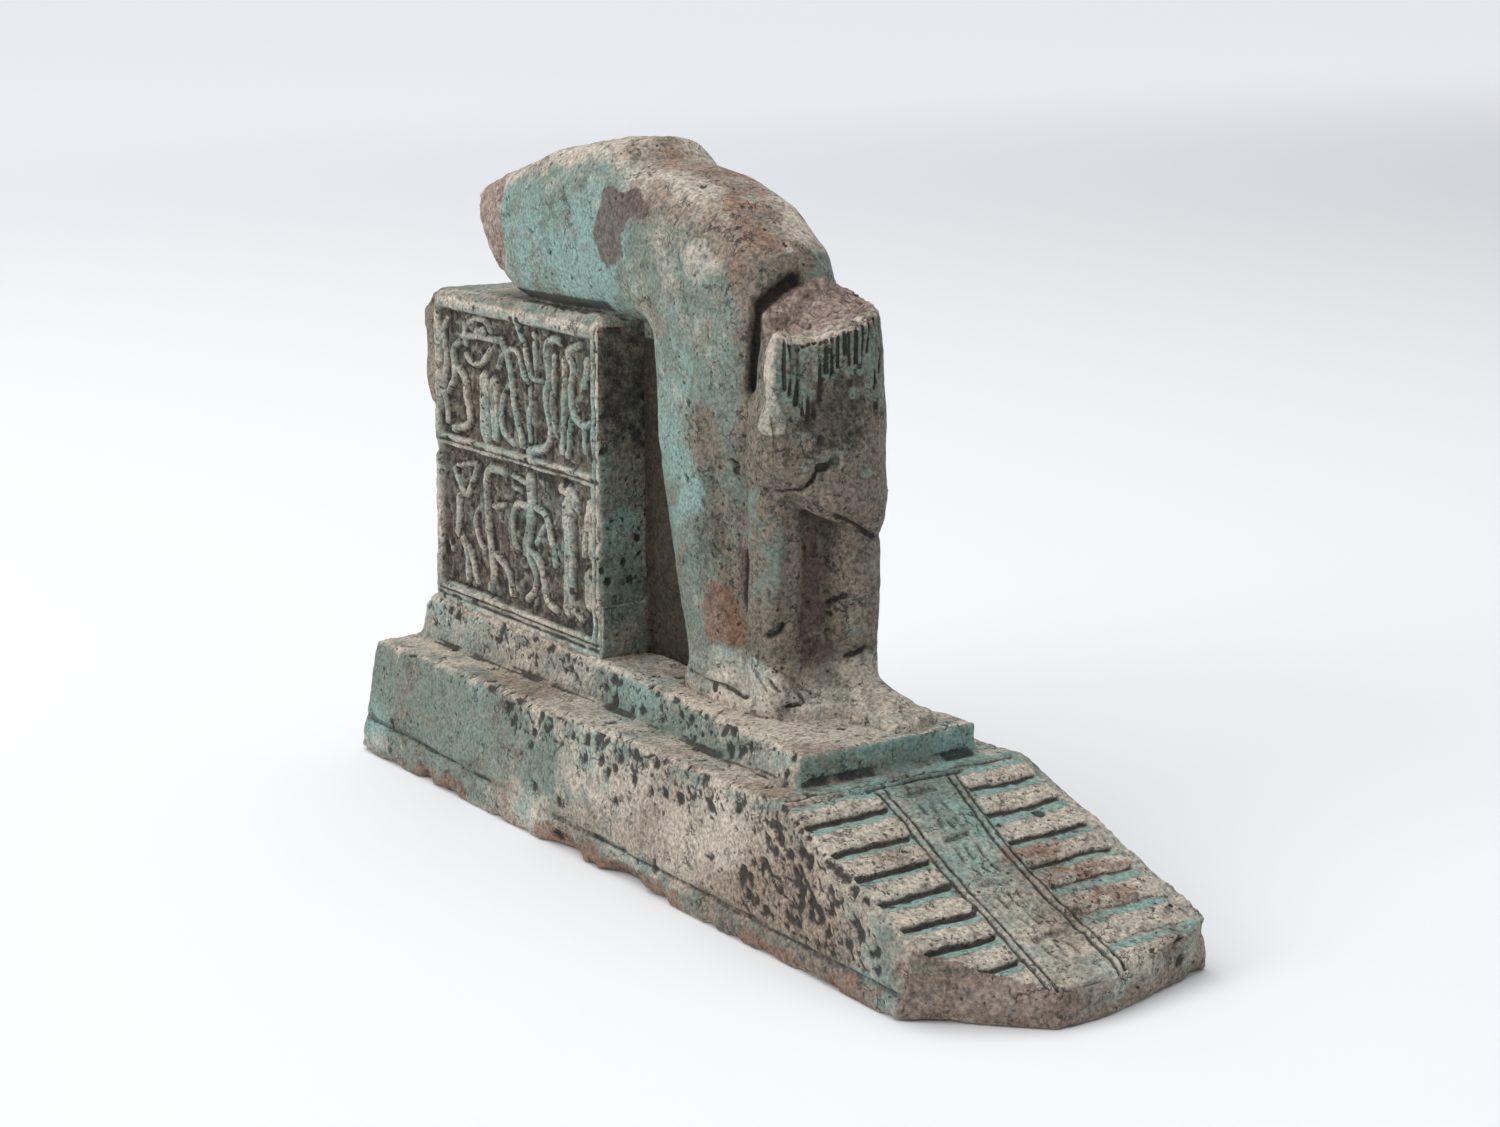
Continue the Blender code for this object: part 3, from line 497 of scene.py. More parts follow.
# Relief lines as (half width in mm, points), on a grid counted from the top at the back
gridStep = 1.1 / 30
upperLines = (
    (0.4, ((160, 170), (130, 200), (128, 250), (145, 290), (134, 345), (130, 395), (148, 440), (150, 495))),
    (0.5, ((185, 512), (240, 505), (298, 490), (290, 440), (272, 400), (268, 350), (228, 322))),
    (0.45, ((160, 400), (205, 345), (180, 260), (225, 235))),
    (0.4, ((270, 178), (276, 230), (264, 262), (300, 290), (360, 297), (430, 245))),
    (0.75, ((350, 200), (385, 196))),
    (0.35, ((295, 170), (345, 150), (405, 160), (440, 190))),
    (0.4, ((235, 216), (480, 212))),
    (1.3, ((390, 340), (390, 500))),
    (0.9, ((445, 340), (450, 500))),
    (0.45, ((500, 205), (540, 250), (560, 330), (580, 400), (600, 460), (622, 512))),
    (0.4, ((545, 330), (502, 370), (490, 430), (500, 490), (565, 512))),
    (0.35, ((478, 290), (505, 245), (600, 215), (628, 290), (650, 310))),
    (0.35, ((600, 150), (640, 200), (668, 260), (678, 300), (740, 300))),
    (0.3, ((672, 330), (664, 490))),
    (0.3, ((700, 165), (712, 290))),
    (0.5, ((850, 172), (790, 170), (766, 190), (772, 240), (790, 290), (762, 330), (772, 390), (796, 440),
        (780, 480), (735, 505), (660, 520))),
    (0.35, ((815, 215), (812, 300), (802, 380), (822, 450))),
    (0.5, ((876, 220), (862, 490))),
    (0.42, ((965, 165), (900, 182), (892, 205), (932, 245), (905, 290), (913, 360), (942, 392), (985, 402),
        (1015, 388))),
    (0.35, ((912, 385), (884, 500))),
    (0.3, ((975, 405), (981, 475))),
    (0.45, ((1004, 205), (985, 285))),
)
lowerLines = (
    (0.42, ((185, 640), (215, 682), (252, 722), (286, 690), (320, 640), (337, 610))),
    (0.3, ((200, 628), (330, 606))),
    (0.6, ((212, 725), (208, 790), (192, 840))),
    (0.48, ((192, 840), (250, 880), (256, 985))),
    (0.42, ((262, 878), (302, 950), (320, 985))),
    (0.62, ((505, 605), (432, 604), (390, 622), (386, 680), (396, 740), (388, 800), (412, 860), (424, 930),
        (402, 985))),
    (0.35, ((372, 726), (322, 758), (306, 800), (330, 850), (368, 872))),
    (0.45, ((440, 875), (512, 902), (542, 975))),
    (0.4, ((435, 722), (500, 708))),
    (0.35, ((150, 880), (160, 905))),
    (0.75, ((662, 600), (660, 680))),
    (0.42, ((640, 690), (572, 690), (546, 740), (550, 800), (578, 832))),
    (0.42, ((690, 690), (742, 692), (776, 740), (800, 842))),
    (0.8, ((656, 700), (652, 752), (628, 800), (632, 832))),
    (0.45, ((640, 840), (694, 888), (682, 930), (630, 978))),
    (0.45, ((652, 826), (704, 842), (736, 890), (746, 972), (802, 978))),
    (0.35, ((742, 735), (690, 795))),
    (0.35, ((560, 612), (630, 622))),
    (0.3, ((556, 646), (602, 652))),
    (1.15, ((880, 650), (884, 800), (874, 960))),
    (0.8, ((850, 604), (905, 610), (930, 640))),
    (0.3, ((905, 962), (955, 982))),
    (0.5, ((1006, 620), (975, 782))),
    (0.6, ((1012, 620), (1024, 790))),
    (1.2, ((1000, 850), (1004, 920))),
    (0.25, ((140, 1012), (1055, 1020))),
    (0.25, ((140, 1044), (1050, 1056))),
)


def flattenThrone(places):
    x, d, z = places.T
    carved = (np.abs(x) > 5.6) & (np.abs(x) < 6.797) & (d > panelStart - 0.1) & (d < panelEnd + 0.1)
    carved &= (z > panelFoot - 0.1) & (z < panelTop + 0.1)
    places[carved, 0] = np.sign(places[carved, 0]) * 6.8


def panelHeight(d, z, places):
    # Height of the relief under the throne's side, where its ground shows, and where its lines are dark
    box = np.minimum(np.minimum(d - panelStart, panelEnd - d), np.minimum(z - panelFoot, panelTop - z))
    box = np.minimum(box, np.abs(z - panelBar) - 0.55)
    sunk = rise(-0.15, 0.40, box + 0.15 * cloud(places, 1.5, 51))
    flat = np.column_stack((d / gridStep - 30, 1560 - z / gridStep))
    flat += np.column_stack((cloud(places, 2.5, 52), cloud(places, 2.5, 53))) * 5
    raised, rimmed = np.zeros(len(d)), np.zeros(len(d))
    for half, line in upperLines + lowerLines:
        width = half / gridStep
        away = lineDistance(flat, rounded(line))
        bead = (1 - rise(width * 0.55, width * 1.1, away)) * (0.75 + 0.25 * min(1, half / 0.5))
        rimmed = np.maximum(rimmed, 1 - rise(1, 5, np.abs(away - width * 1.1 - 3)))
        if half > 0.7:
            bead -= 0.35 * (1 - rise(2.73, 8.19, away))
        raised = np.maximum(raised, bead)
    long = places * np.array((1, 1, 0.42))
    fold = np.abs(cloud(long, 1.3, 55) + 0.35 * cloud(places, 0.8, 56))
    wrinkle = (1 - rise(0.04, 0.20, fold)) * rise(0.3, 0.7, box)
    raised = np.maximum(raised * (0.88 + 0.12 * cloud(places, 1.2, 54)), throneLook["wrinkle"] * wrinkle)
    height = sunk * (-throneLook["ground"] + throneLook["raised"] * raised)
    lines = np.abs(np.array((z - 19.35, z - 18.75, d - panelEnd - 0.75))).min(axis=0)
    lines = np.minimum(lines, np.abs(z - panelBar + 0.05) + 9 * (box > -0.1))
    cut = (1 - rise(0.08, 0.26, lines + 0.08 * cloud(places, 1.0, 57))) * (1 - sunk)
    height -= throneLook["cut"] * cut
    return height, sunk * (1 - raised), np.maximum(cut, sunk * rimmed * rise(0.3, 0.7, 1 - raised))


def makeThrone():
    outline = ((behind, slabTop), (throneEnd, slabTop), (throneEnd, seatFront), (behind, seatBack))
    obj = remeshed("throne", solidPart(outline, flattenThrone), throneLook["voxel"])
    mesh, edges, places, normals, out = surface(obj, 20)
    hollow = bulge(places, normals, edges, 200)
    places = relax(places, edges, 12)
    noise = lambda size, seed: cloud(places, size, seed)
    x, d, z = places.T
    side = rise(0.7, 0.92, np.abs(normals[:, 0])) * (np.abs(x) > 6.2)
    flip = places * np.array((-1, 1, 1))
    relief, ground, cut = panelHeight(d, z, np.where(x[:, None] > 0, flip, places))
    front = rise(0.8, 0.95, normals[:, 1])
    upper = rise(0.5, 0.9, normals[:, 2])
    chance = 0.08 + 0.7 * front * band(19, 44, 3, z) + 0.35 * side * (1 - ground)
    chance *= rise(0.1, 0.7, 0.5 + 0.5 * noise(4.0, 62))
    pits, pitDark = pitted(places, chance, throneLook, 32)
    edge = rise(0.02, 0.10, out) * (z > slabTop + 1)
    chips = edge * chipped(places, 0, 0.7, 2.4, 58)
    move = grain(places, throneLook) - pits + side * relief - throneLook["chip"] * chips
    low = z < slabTop + 0.35
    move[low] = 0
    places = places + normals * move[:, None]
    places[low, 2] -= 0.6
    setPlaces(mesh, inside(places))
    x, d, z = places.T
    lit = side * rise(0.35, 0.75, 1 - ground)
    bare = 0.30 + 0.24 * noise(8, 63) + 0.20 * noise(2.5, 60) + 0.4 * edge + 0.22 * lit
    # The throne's front, in the recess under the thigh, is made darker and browner: soil and painted shade
    bare += 0.1 * upper - 0.22 * front * (z < 44)
    earth = 0.28 + 0.30 * noise(5, 64) + 0.45 * side * ground - 0.3 * lit + 0.15 * upper
    earth += front * (0.12 + patches(places, frontSoilAndShade)) + 0.5 * blob(places, (0, 1, 50), (9, 4, 10), seed=66)
    earth += 0.8 * (1 - rise(4.2, 5.0, d + 0.3 * noise(1.5, 107))) * rise(33, 37, z)
    shade = side * rise(0.35, 0.95, ground)
    # Deposit and painted shadow of the seat's overhang on the front, under the thigh
    depositAndShadow = front * blob(places, (-3.5, throneEnd, 48), (5.5, 3, 10), seed=68)
    # The last term is painted shade on the seat's top, under the lap
    dark = most(pitDark, 0.72 * side * cut, shade * (0.42 + 0.34 * noise(0.9, 67)),
        depositAndShadow * (0.52 + 0.2 * noise(1.1, 106)),
        0.6 * upper * (1 - rise(5.4, 6.2, np.abs(x))) * rise(20, 25, d))
    fresh = rise(0.3, 0.8, -normals[:, 1]) * (d < 3.5)
    glaze = 0.42 + 0.45 * noise(7, 69) + 0.12 * front + 0.15 * lit
    speck = 0.15 + 0.45 * front * rise(-0.2, 0.5, noise(4, 70)) + 0.45 * upper
    speck += 0.12 * side * (1 - ground)
    # Painted shade in hollows and on the relief's ground, multiplied into the colour by the material
    deep = np.maximum(0.8 * rise(0.0, 0.6, -hollow), 0.55 * shade)
    paint(mesh, wear=(bare, earth, dark), tone=(0, fresh, glaze), stain=(0, deep, speck))
    return obj


# Seated and standing figure. Lines are in places, measured on the surface

figureLook = {
    "voxel": 0.31, "swell": 0.12, "lump": 0.08, "fine": 0.04, "rough": 0.03,
    "tries": 3600, "small": 0.15, "large": 0.5, "deep": 0.45,
    "pleat": 0.32, "break": 0.30, "cleft": 1.0, "crack": 0.55, "arm": 0.55, "lobe": 0.9, "hem": 0.6,
    "valley": 0.6,
}
pleatTops = (
    (-5.2, 72.7, 55.6), (-4.6, 72.9, 55.4), (-3.6, 72.6, 55.2), (-3.0, 72.7, 55.2), (-2.6, 72.9, 55.2),
    (-2.1, 73.2, 55.3), (-1.7, 73.7, 55.4), (-1.2, 73.9, 55.6), (-0.6, 74.1, 55.7), (-0.1, 74.4, 55.9),
    (0.6, 74.4, 56.1), (1.1, 74.6, 56.2), (1.9, 74.6, 56.4), (2.8, 74.3, 56.5), (3.7, 74.0, 56.7),
    (4.7, 73.5, 57.0), (5.8, 72.9, 57.1),
)
pleatFeet = (
    (-5.5, 73.1, 50.9), (-5.0, 73.4, 50.4), (-4.3, 73.4, 49.4), (-3.8, 73.7, 48.4), (-3.4, 74.1, 47.9),
    (-2.9, 74.3, 48.1), (-2.3, 74.5, 49.8), (-1.6, 74.5, 52.4), (-1.0, 74.7, 52.2), (-0.4, 74.8, 52.9),
    (0.5, 74.8, 54.0), (0.9, 75.0, 53.0), (1.7, 74.8, 53.1), (2.4, 74.9, 52.9), (3.2, 74.7, 54.0),
    (4.1, 74.4, 50.4), (5.1, 73.9, 51.8),
)
armLine = ((-4.7, 71.2, 55.2), (-5.3, 71.5, 52.5), (-5.65, 71.7, 50), (-5.5, 72.0, 47.4))
hemLine = ((-5.9, 62.5, 44.2), (-5.7, 65.0, 42.5), (-5.4, 67.8, 41.3), (-5.5, 70.9, 40.8),
    (-4.6, 73.0, 40.9), (-3.4, 74.0, 41.4), (-2.6, 74.7, 43.2))
hemFar = ((-2.6, 74.7, 43.2), (-1.9, 74.8, 43.3), (-0.8, 75.0, 43.8))
crackLines = (
    ((-0.5, 74.5, 38.5), (1.3, 74.5, 37.6), (2.8, 74.1, 36.5), (4.6, 73.7, 35.6), (6.4, 72.5, 35.4)),
    ((0.9, 71.0, 28.9), (1.3, 72.1, 29.5), (1.9, 73.0, 29.9)),
    ((2.0, 72.8, 23.7), (3.0, 73.4, 24.0), (4.1, 73.5, 24.4)),
    ((-5.6, 70.5, 26.4), (-5.0, 71.3, 26.8), (-4.4, 71.7, 27.3)),
)
toeLines = (
    ((-6.0, 69.3, 21.7), (-5.7, 70.4, 20.8)), ((-5.5, 70.7, 21.8), (-4.9, 71.6, 20.8)),
    ((-4.5, 71.5, 21.4), (-3.7, 71.9, 20.2)), ((-2.8, 71.5, 20.8), (-2.7, 72.5, 19.8)),
)
footLine = ((-5.7, 56.3, 20.1), (-6.3, 62.3, 20.0), (-5.6, 67.0, 19.5), (-4.8, 71.7, 19.3),
    (-3.0, 72.3, 19.6))
instep = ((-4.6, 65.5, 26.3), (-5.9, 69.0, 25.2), (-5.2, 71.1, 23.3), (-3.0, 71.6, 21.2))
legEdge = ((-3.9, 72.6, 40.4), (-3.8, 72.2, 36.0), (-3.9, 72.0, 31.0), (-4.5, 71.7, 27.6))
cleftLine = ((-4.9, 67.7, 58.2), (-5.1, 67.6, 55.0), (-5.1, 67.2, 52.0), (-5.1, 67.1, 50.0))
cleftTop = ((-4.6, 67.8, 58.4), (-3.3, 68.2, 59.4), (-2.0, 68.3, 60.1), (-0.4, 68.2, 60.8))
valleyLine = ((-6.7, 61.0, 46), (-6.5, 61.2, 41.5), (-6.3, 62.5, 38.6), (-6.1, 63.4, 34.7),
    (-5.8, 64.0, 30.8), (-5.4, 65.0, 24.3))
dirtLine = ((-0.5, 47.4, 70.8), (2.0, 56.0, 69.3), (-1.5, 60.5, 67), (-2.0, 64.7, 64.5), (-4.6, 66.3, 62))
streakLine = ((-5.5, 30.0, 66.5), (-4.5, 34.8, 64.5), (-3.0, 39.0, 62.0))
kneeGlaze = ((-6.9, 55, 52), (-6.7, 60.4, 50.4), (-6.7, 60.4, 42))
holeLine = ((-5.0, 66.3, 33.6), (-5.4, 66.5, 31.5), (-4.8, 66.2, 28.6))
seatCorner = ((-4.6, -3.3, -2, -0.4, 4), (58.2, 59.2, 59.9, 60.6, 61))  # x and z where the torso joins
lobeFoot = ((62, 68, 73, 75), (44, 41.3, 40.9, 43))  # d and z of the hanging fold's lower edge
hollowFill = (((-3.6, 64, 18.3), (1.6, 71.2, 42)), ((-5.2, 60, 18.3), (3, 69.6, 43.5)))
# Patches as (amount, middle, radii, seed)
bareSpots = (
    (-0.55, (-7, 33, 62), (5, 16, 7), 82), (0.35, (-6.3, 60.5, 62.5), (3, 4, 2.4), 83),
    (0.22, (3, 73, 31), (3.5, 3, 9), 109),
)
glazeSpots = ((0.5, (-7, 33, 62), (5, 16, 8), 93), (0.3, (-6.5, 55, 46), (3, 5, 12), 94))


def pleatCut(places):
    draw = random.Random(5)
    cut = np.zeros(len(places))
    for top, foot in zip(pleatTops, pleatFeet):
        away = lineDistance(places, (top, foot))
        cut = np.maximum(cut, 1 - rise(0.11, draw.choice((0.26, 0.30, 0.36)), away))
    return cut


def beside(places, line, inner, outer):
    # One within inner mm of the line, none past outer
    return 1 - rise(inner, outer, lineDistance(places, line))


def makeFigures():
    outline = ((behind, seatBack), (throneEnd, seatFront), (throneEnd, slabTop), (before, slabTop),
        (before, over), (behind, over))
    part = solidPart(outline, lambda places: places)
    for corners in hollowFill:
        part = withBlock(part, *corners)
    obj = remeshed("figures", part, figureLook["voxel"])
    split(obj, lambda x, d, z: d > 70 and 46 < z < 58.5 and abs(x - 1) < 8)
    mesh, edges, places, normals, out = surface(obj, 16)
    hollow = bulge(places, normals, edges, 150)
    places = relax(places, edges, 8)
    noise = lambda size, seed: cloud(places, size, seed)
    x, d, z = places.T
    seatLine = seatBack + (seatFront - seatBack) * (d - behind) / (throneEnd - behind)
    top = rise(0.45, 0.75, normals[:, 2]) * (d > 66) * (z > 53) * (z < 61.5)
    top *= np.hypot(x - 1, (d - 70) * 1.2) < 9
    junction = rise(67.4, 67.9, d) * (z > 55.5) * (1 - rise(-0.5, 0.1, z - np.interp(x, *seatCorner)))
    top = np.maximum(top, junction * (x > -4.8) * (x < 6) * (normals[:, 2] > -0.1))
    overRim = z - np.interp(x, *np.array(pleatTops).T[[0, 2]]) + 0.10 * noise(0.8, 102)
    top = top * rise(-0.05, 0.25, overRim)
    rim = band(-0.25, 0.45, 0.15, overRim) * (d > 69.5) * (z < 59) * (z > 54)
    rim *= rise(0.2, 0.5, top + normals[:, 2])
    torso = 0.4 * rise(71.0, 72.2, z) * (d < 50)
    rearBreak = rise(0.25, 0.6, -normals[:, 1]) * (d < 22) * (z > 55)
    rearSkin = (1 - rise(21.0, 23.0, d + 0.12 * (z - 60))) * (z < 68)
    broken = most(top, rearBreak, torso, 0.7 * rearSkin)
    arm = beside(places, armLine, 0.8, 1.25)
    armEdge = beside(places, tuple((a + 1.0, b + 0.9, c) for a, b, c in armLine), 0.12, 0.4) * (z < 55)
    pleat = pleatCut(places) * (1 - arm) * (1 - top)
    # The cleft is cut, and its dark paint and shade are painted shade of the recess
    cleft = np.maximum(beside(places, cleftLine, 0.25, 0.75), beside(places, cleftTop, 0.4, 1.1))
    hem = np.maximum(beside(places, rounded(hemLine), 0.10, 0.34), beside(places, hemFar, 0.25, 0.65))
    lobe = blob(places, (-5.2, 69.2, 45), (2.6, 4.6, 5.4), ragged=0.05)
    lobe *= rise(-0.2, 0.4, z - np.interp(d, *lobeFoot))
    valley = beside(places, rounded(valleyLine), 0.2, 1.6)
    wash = beside(places, rounded(valleyLine), 0.8, 3.6)
    cracks = most(*(beside(places, rounded(line), 0.10, 0.42) for line in crackLines),
        *(0.65 * beside(places, line, 0.08, 0.30) for line in toeLines))
    under = beside(places, rounded(footLine), 0.10, 0.36)
    # Grooves along the instep and the leg's edge, with painted shade along them as earth and dark
    fold = np.maximum(beside(places, rounded(instep), 0.3, 1.2), beside(places, rounded(legEdge), 0.3, 1.3))
    crust = blob(places, (-0.6, 74.9, 47.6), (4.2, 2.4, 4.2), ragged=0.5, grain=1.4, seed=91)
    hole = beside(places, holeLine, 0.5, 1.0)
    chance = 0.05 + 0.04 * (d > 50) + 0.22 * (x < -5) * band(20, 46, 3, z) * (d < 66) + 0.3 * crust
    chance -= arm + top
    chance *= rise(0.2, 0.8, 0.5 + 0.5 * noise(4.0, 73))
    pits, pitDark = pitted(places, chance, figureLook, 33)
    edge = rise(0.03, 0.14, out)
    chips = edge * chipped(places, 0.1, 0.8, 2.2, 96)
    rings = np.hypot(x - 1.4, (d - 70.4) * 1.15) / 0.85 + 0.6 * noise(3, 98)
    ring = top * (1 - rise(0.06, 0.22, np.abs(rings - np.round(rings))))
    move = grain(places, figureLook) - pits - 0.3 * (armEdge + chips) - 0.5 * hole - 0.45 * (under + fold)
    for name, raised in (("arm", arm), ("lobe", lobe), ("break", broken * noise(1.3, 74))):
        move += figureLook[name] * raised
    for name, cut in (("pleat", pleat), ("cleft", cleft), ("hem", hem), ("valley", valley),
            ("crack", cracks)):
        move -= figureLook[name] * cut
    move += 0.15 * broken * noise(0.6, 75) - 0.12 * ring
    lumps = rise(58, 66, d) * (1 - rise(46, 50, z)) + 0.4 * rise(44, 62, d) * (z > 56)
    move = move + 0.22 * lumps * noise(3.2, 99)
    foot = z < slabTop + 0.4
    seated = (d < throneEnd) & (z < seatLine + 0.3) & (normals[:, 2] < -0.6)
    web = (d < throneEnd + 0.35) & (normals[:, 1] < -0.6) & (z < 56)
    move[foot | seated | web] = 0
    places = places + normals * move[:, None]
    places[foot, 2] -= 0.6
    places[seated, 2] -= 0.4
    places[web, 1] -= 0.5
    setPlaces(mesh, inside(places))
    x, d, z = places.T
    lap = rise(0.2, 0.8, normals[:, 2]) * (z > 56) * (d < 72)
    dirt = beside(places, dirtLine, 1.0, 4.2)
    bare = 0.26 + 0.22 * noise(7, 81) + 0.20 * noise(2.5, 80)
    bare += 0.35 * lap * rise(22, 34, d) + 0.3 * edge
    standing = rise(64, 68, d) * (1 - rise(56, 58, z))
    toe = rise(60, 63, d) * (1 - rise(22.5, 25, z))
    bare += 0.45 * toe + 1.0 * rim - 0.22 * standing * (1 - toe) + patches(places, bareSpots)
    bare += 0.7 * arm + 0.8 * rearSkin + 0.2 * lap - 0.2 * (d > 48) * (d < 66) * band(22, 50, 4, z)
    earth = 0.22 + 0.34 * noise(4, 84) + 0.3 * noise(1.6, 79) + 0.5 * dirt
    earth += 0.62 * standing * (1 - toe) + 0.7 * blob(places, (-2, 66.5, 60), (6, 3, 4), seed=86)
    streaks = beside(places * np.array((1, 0.6, 1)), streakLine, 1.2, 3.4)
    mass = band(-3.9, 1.2, 0.5, x) * (d > 67) * band(20.5, 42, 1.5, z)
    earth += 0.25 * lobe + 0.55 * wash + 0.5 * (streaks + fold) + 0.4 * mass
    bodice = standing * band(49, 58, 1.5, z) * (d > 70)
    nearLeg = blob(places, (-5, 70, 34), (3, 3.5, 7), seed=95)
    bare -= 0.35 * nearLeg + 0.6 * beside(places, kneeGlaze, 1.0, 2.4)
    earth -= 0.45 * bodice + 0.35 * nearLeg + 0.9 * arm + 0.25 * toe
    shinSpeck = blob(places, (-6.4, 61, 35), (2, 2.6, 8), ragged=0.4, seed=75) * (x < -4)
    # Painted shade on the web between the throne's front and the shins, carried as earth, dark and shade
    recessShade = (d > throneEnd - 1) * (1 - rise(1.2, 1.6, np.abs(x))) * (d < 60) * (z < 52)
    # Darker between the legs: purple-brown colour, and painted shade through the shade mask
    between = blob(places, (-1.0, 71.2, 30), (1.7, 2.2, 7.5), ragged=0.4, grain=1.5, seed=76)
    gap = blob(places, (-5.4, 66.0, 31), (1.4, 1.2, 3.2), ragged=0.3, grain=1.5, seed=105)
    earth = most(earth, 0.9 * crust, recessShade)
    purple = most(blob(places, (-6.6, 46.4, 66.6), (2.6, 4.4, 1.7), ragged=0.5, seed=87),
        blob(places, (-7, 44.7, 63.6), (2.6, 2.9, 3.1), ragged=0.5, seed=88), 0.8 * between, 0.9 * gap)
    rust = most(blob(places, (-6.1, 62.7, 27.4), (2.6, 3.3, 4.4), ragged=0.5, seed=89),
        0.62 * dirt * rise(-0.2, 0.4, noise(2.4, 78)))
    # Painted shade: the dark line under the lap, where it meets the seat
    lapShadeLine = band(0, 1.3, 0.3, z - seatLine) * (normals[:, 2] < 0.25) * band(21, 41.5, 1, d)
    lapShadeLine *= np.abs(x) > 3
    dark = most(pitDark, 0.95 * pleat, cracks, 0.62 * cleft, 0.4 * ring, 0.5 * armEdge, 0.8 * hole,
        0.8 * under, 0.25 * fold, 0.8 * lapShadeLine, 0.42 * recessShade,
        0.9 * hem * rise(-0.7, 0.1, noise(3, 77)),
        0.6 * rise(0.10, 0.35, -out) * rise(-0.6, 0.2, noise(3, 71)),
        crust * (0.52 + 0.10 * noise(0.8, 103)), shinSpeck * (0.40 + 0.12 * noise(0.8, 104)))
    sole = toe * (x < -2.5) * rise(19.6, 20.4, z)
    glaze = 0.35 + 0.4 * sole + 0.25 * bodice - 0.3 * nearLeg - 0.25 * standing * (1 - toe)
    glaze += 0.4 * noise(7, 92) + patches(places, glazeSpots)
    # Painted shade, multiplied into the colour: in hollows, the cleft, the recess and between the legs, less
    # at the toes
    deep = most(0.9 * rise(0.05, 0.8, -hollow), cleft, recessShade, 0.3 * between) * (1 - 0.6 * toe)
    speck = 0.12 + 0.9 * crust + 0.15 * standing + 0.35 * rise(0.2, 0.7, noise(6, 72))
    speck += 0.7 * shinSpeck - 0.3 * arm - 0.2 * top
    paint(mesh, wear=(bare, earth, dark), tone=(rust, broken * (1 - rim), glaze), stain=(purple, deep, speck))
    return obj


# Material, from the painted masks and noise in object space

faienceLook = {
    "glaze": (0.235, 0.350, 0.312, 1), "glazeDull": (0.175, 0.215, 0.178, 1),
    "glazeDeep": (0.070, 0.105, 0.092, 1), "dark": (0.022, 0.019, 0.017, 1),
    "body": (0.540, 0.475, 0.390, 1), "bodyDark": (0.175, 0.148, 0.122, 1),
    "fresh": (0.410, 0.315, 0.260, 1), "freshDark": (0.240, 0.175, 0.150, 1),
    "earth": (0.215, 0.150, 0.105, 1), "earthDark": (0.075, 0.055, 0.042, 1),
    "rust": (0.280, 0.140, 0.085, 1), "rustDark": (0.120, 0.070, 0.050, 1),
    "purple": (0.145, 0.100, 0.088, 1), "purpleDark": (0.055, 0.042, 0.038, 1),
    # hollow is the colour of painted shade, multiplied in at hollows and recesses
    "hollow": (0.34, 0.30, 0.28, 1), "glazeRough": 0.62, "bodyRough": 0.88, "specular": 0.35,
    "bump": 0.00030,
}
# What lies over the glaze and body, as (colour, painted layer, its channel, scale of the ragged edge,
# raggedness, softness, strength, patches' shift and scale)
overlays = (
    ("fresh", "tone", 1, 900, 0.5, 0.2, 1, 0, 1200), ("earth", "wear", 1, 700, 1.6, 0.30, 0.70, 0.05, 1300),
    ("rust", "tone", 0, 700, 2.2, 0.4, 0.72, 0.05, 1100),
    ("purple", "stain", 0, 700, 2.2, 0.28, 0.88, 0.05, 1500),
)


def feed(tree, target, source):
    # Links the source to the socket, or sets it where the source is a plain value
    if isinstance(source, bpy.types.NodeSocket):
        tree.links.new(source, target)
    else:
        target.default_value = source


def node(tree, kind, place, sockets={}, **settings):
    made = tree.nodes.new(kind)
    made.location = place
    for name, value in settings.items():
        setattr(made, name, value)
    for name, source in sockets.items():
        feed(tree, made.inputs[name], source)
    return made


def mix(tree, factor, first, second, place, blend="MIX"):
    sockets = {0: factor, 6: first, 7: second}
    return node(tree, "ShaderNodeMix", place, sockets, data_type="RGBA", blend_type=blend).outputs[2]


def maths(tree, operation, first, second, place):
    return node(tree, "ShaderNodeMath", place, {0: first, 1: second}, operation=operation).outputs[0]


def noiseAt(tree, place, vector, scale, detail, rough=0.6):
    sockets = {"Vector": vector, "Scale": scale, "Detail": detail, "Roughness": rough}
    return node(tree, "ShaderNodeTexNoise", place, sockets).outputs["Fac"]


def ranged(tree, place, value, low, high, start=0, end=1, curve="LINEAR"):
    sockets = {"Value": value, "From Min": low, "From Max": high, "To Min": start, "To Max": end}
    return node(tree, "ShaderNodeMapRange", place, sockets, interpolation_type=curve).outputs["Result"]


def newGroup(name, output, kind, **inputs):
    # A group with the named inputs beside its vector. Returns it, what it is given and its result
    group = bpy.data.node_groups.new(name, "ShaderNodeTree")
    group.interface.new_socket(name="Vector", in_out="INPUT", socket_type="NodeSocketVector")
    for title, value in inputs.items():
        sort = "NodeSocketColor" if isinstance(value, tuple) else "NodeSocketFloat"
        group.interface.new_socket(name=title, in_out="INPUT", socket_type=sort).default_value = value
    group.interface.new_socket(name=output, in_out="OUTPUT", socket_type=kind)
    given = node(group, "NodeGroupInput", (-1100, 0)).outputs
    return group, given, node(group, "NodeGroupOutput", (500, 0)).inputs[0]


def tintGroup():
    # Two colours in soft patches, with finer grains that are darker and lighter
    group, given, result = newGroup("patchTint", "Color", "NodeSocketColor", Light=(1, 1, 1, 1),
        Deep=(0, 0, 0, 1), Shift=0, Patches=300)
    patches = noiseAt(group, (-650, 150), given["Vector"], given["Patches"], 5, 0.65)
    moved = maths(group, "ADD", patches, given["Shift"], (-400, 150))
    soft = ranged(group, (-200, 150), moved, 0.38, 0.62, curve="SMOOTHSTEP")
    grains = noiseAt(group, (-650, -150), given["Vector"], 2600, 2)
    share = ranged(group, (-400, -150), grains, 0.25, 0.75, 0.50, 1.50)
    base = mix(group, soft, given["Deep"], given["Light"], (0, 100))
    scaled = node(group, "ShaderNodeVectorMath", (250, 0), {0: base, "Scale": share}, operation="SCALE")
    feed(group, result, scaled.outputs[0])
    return group


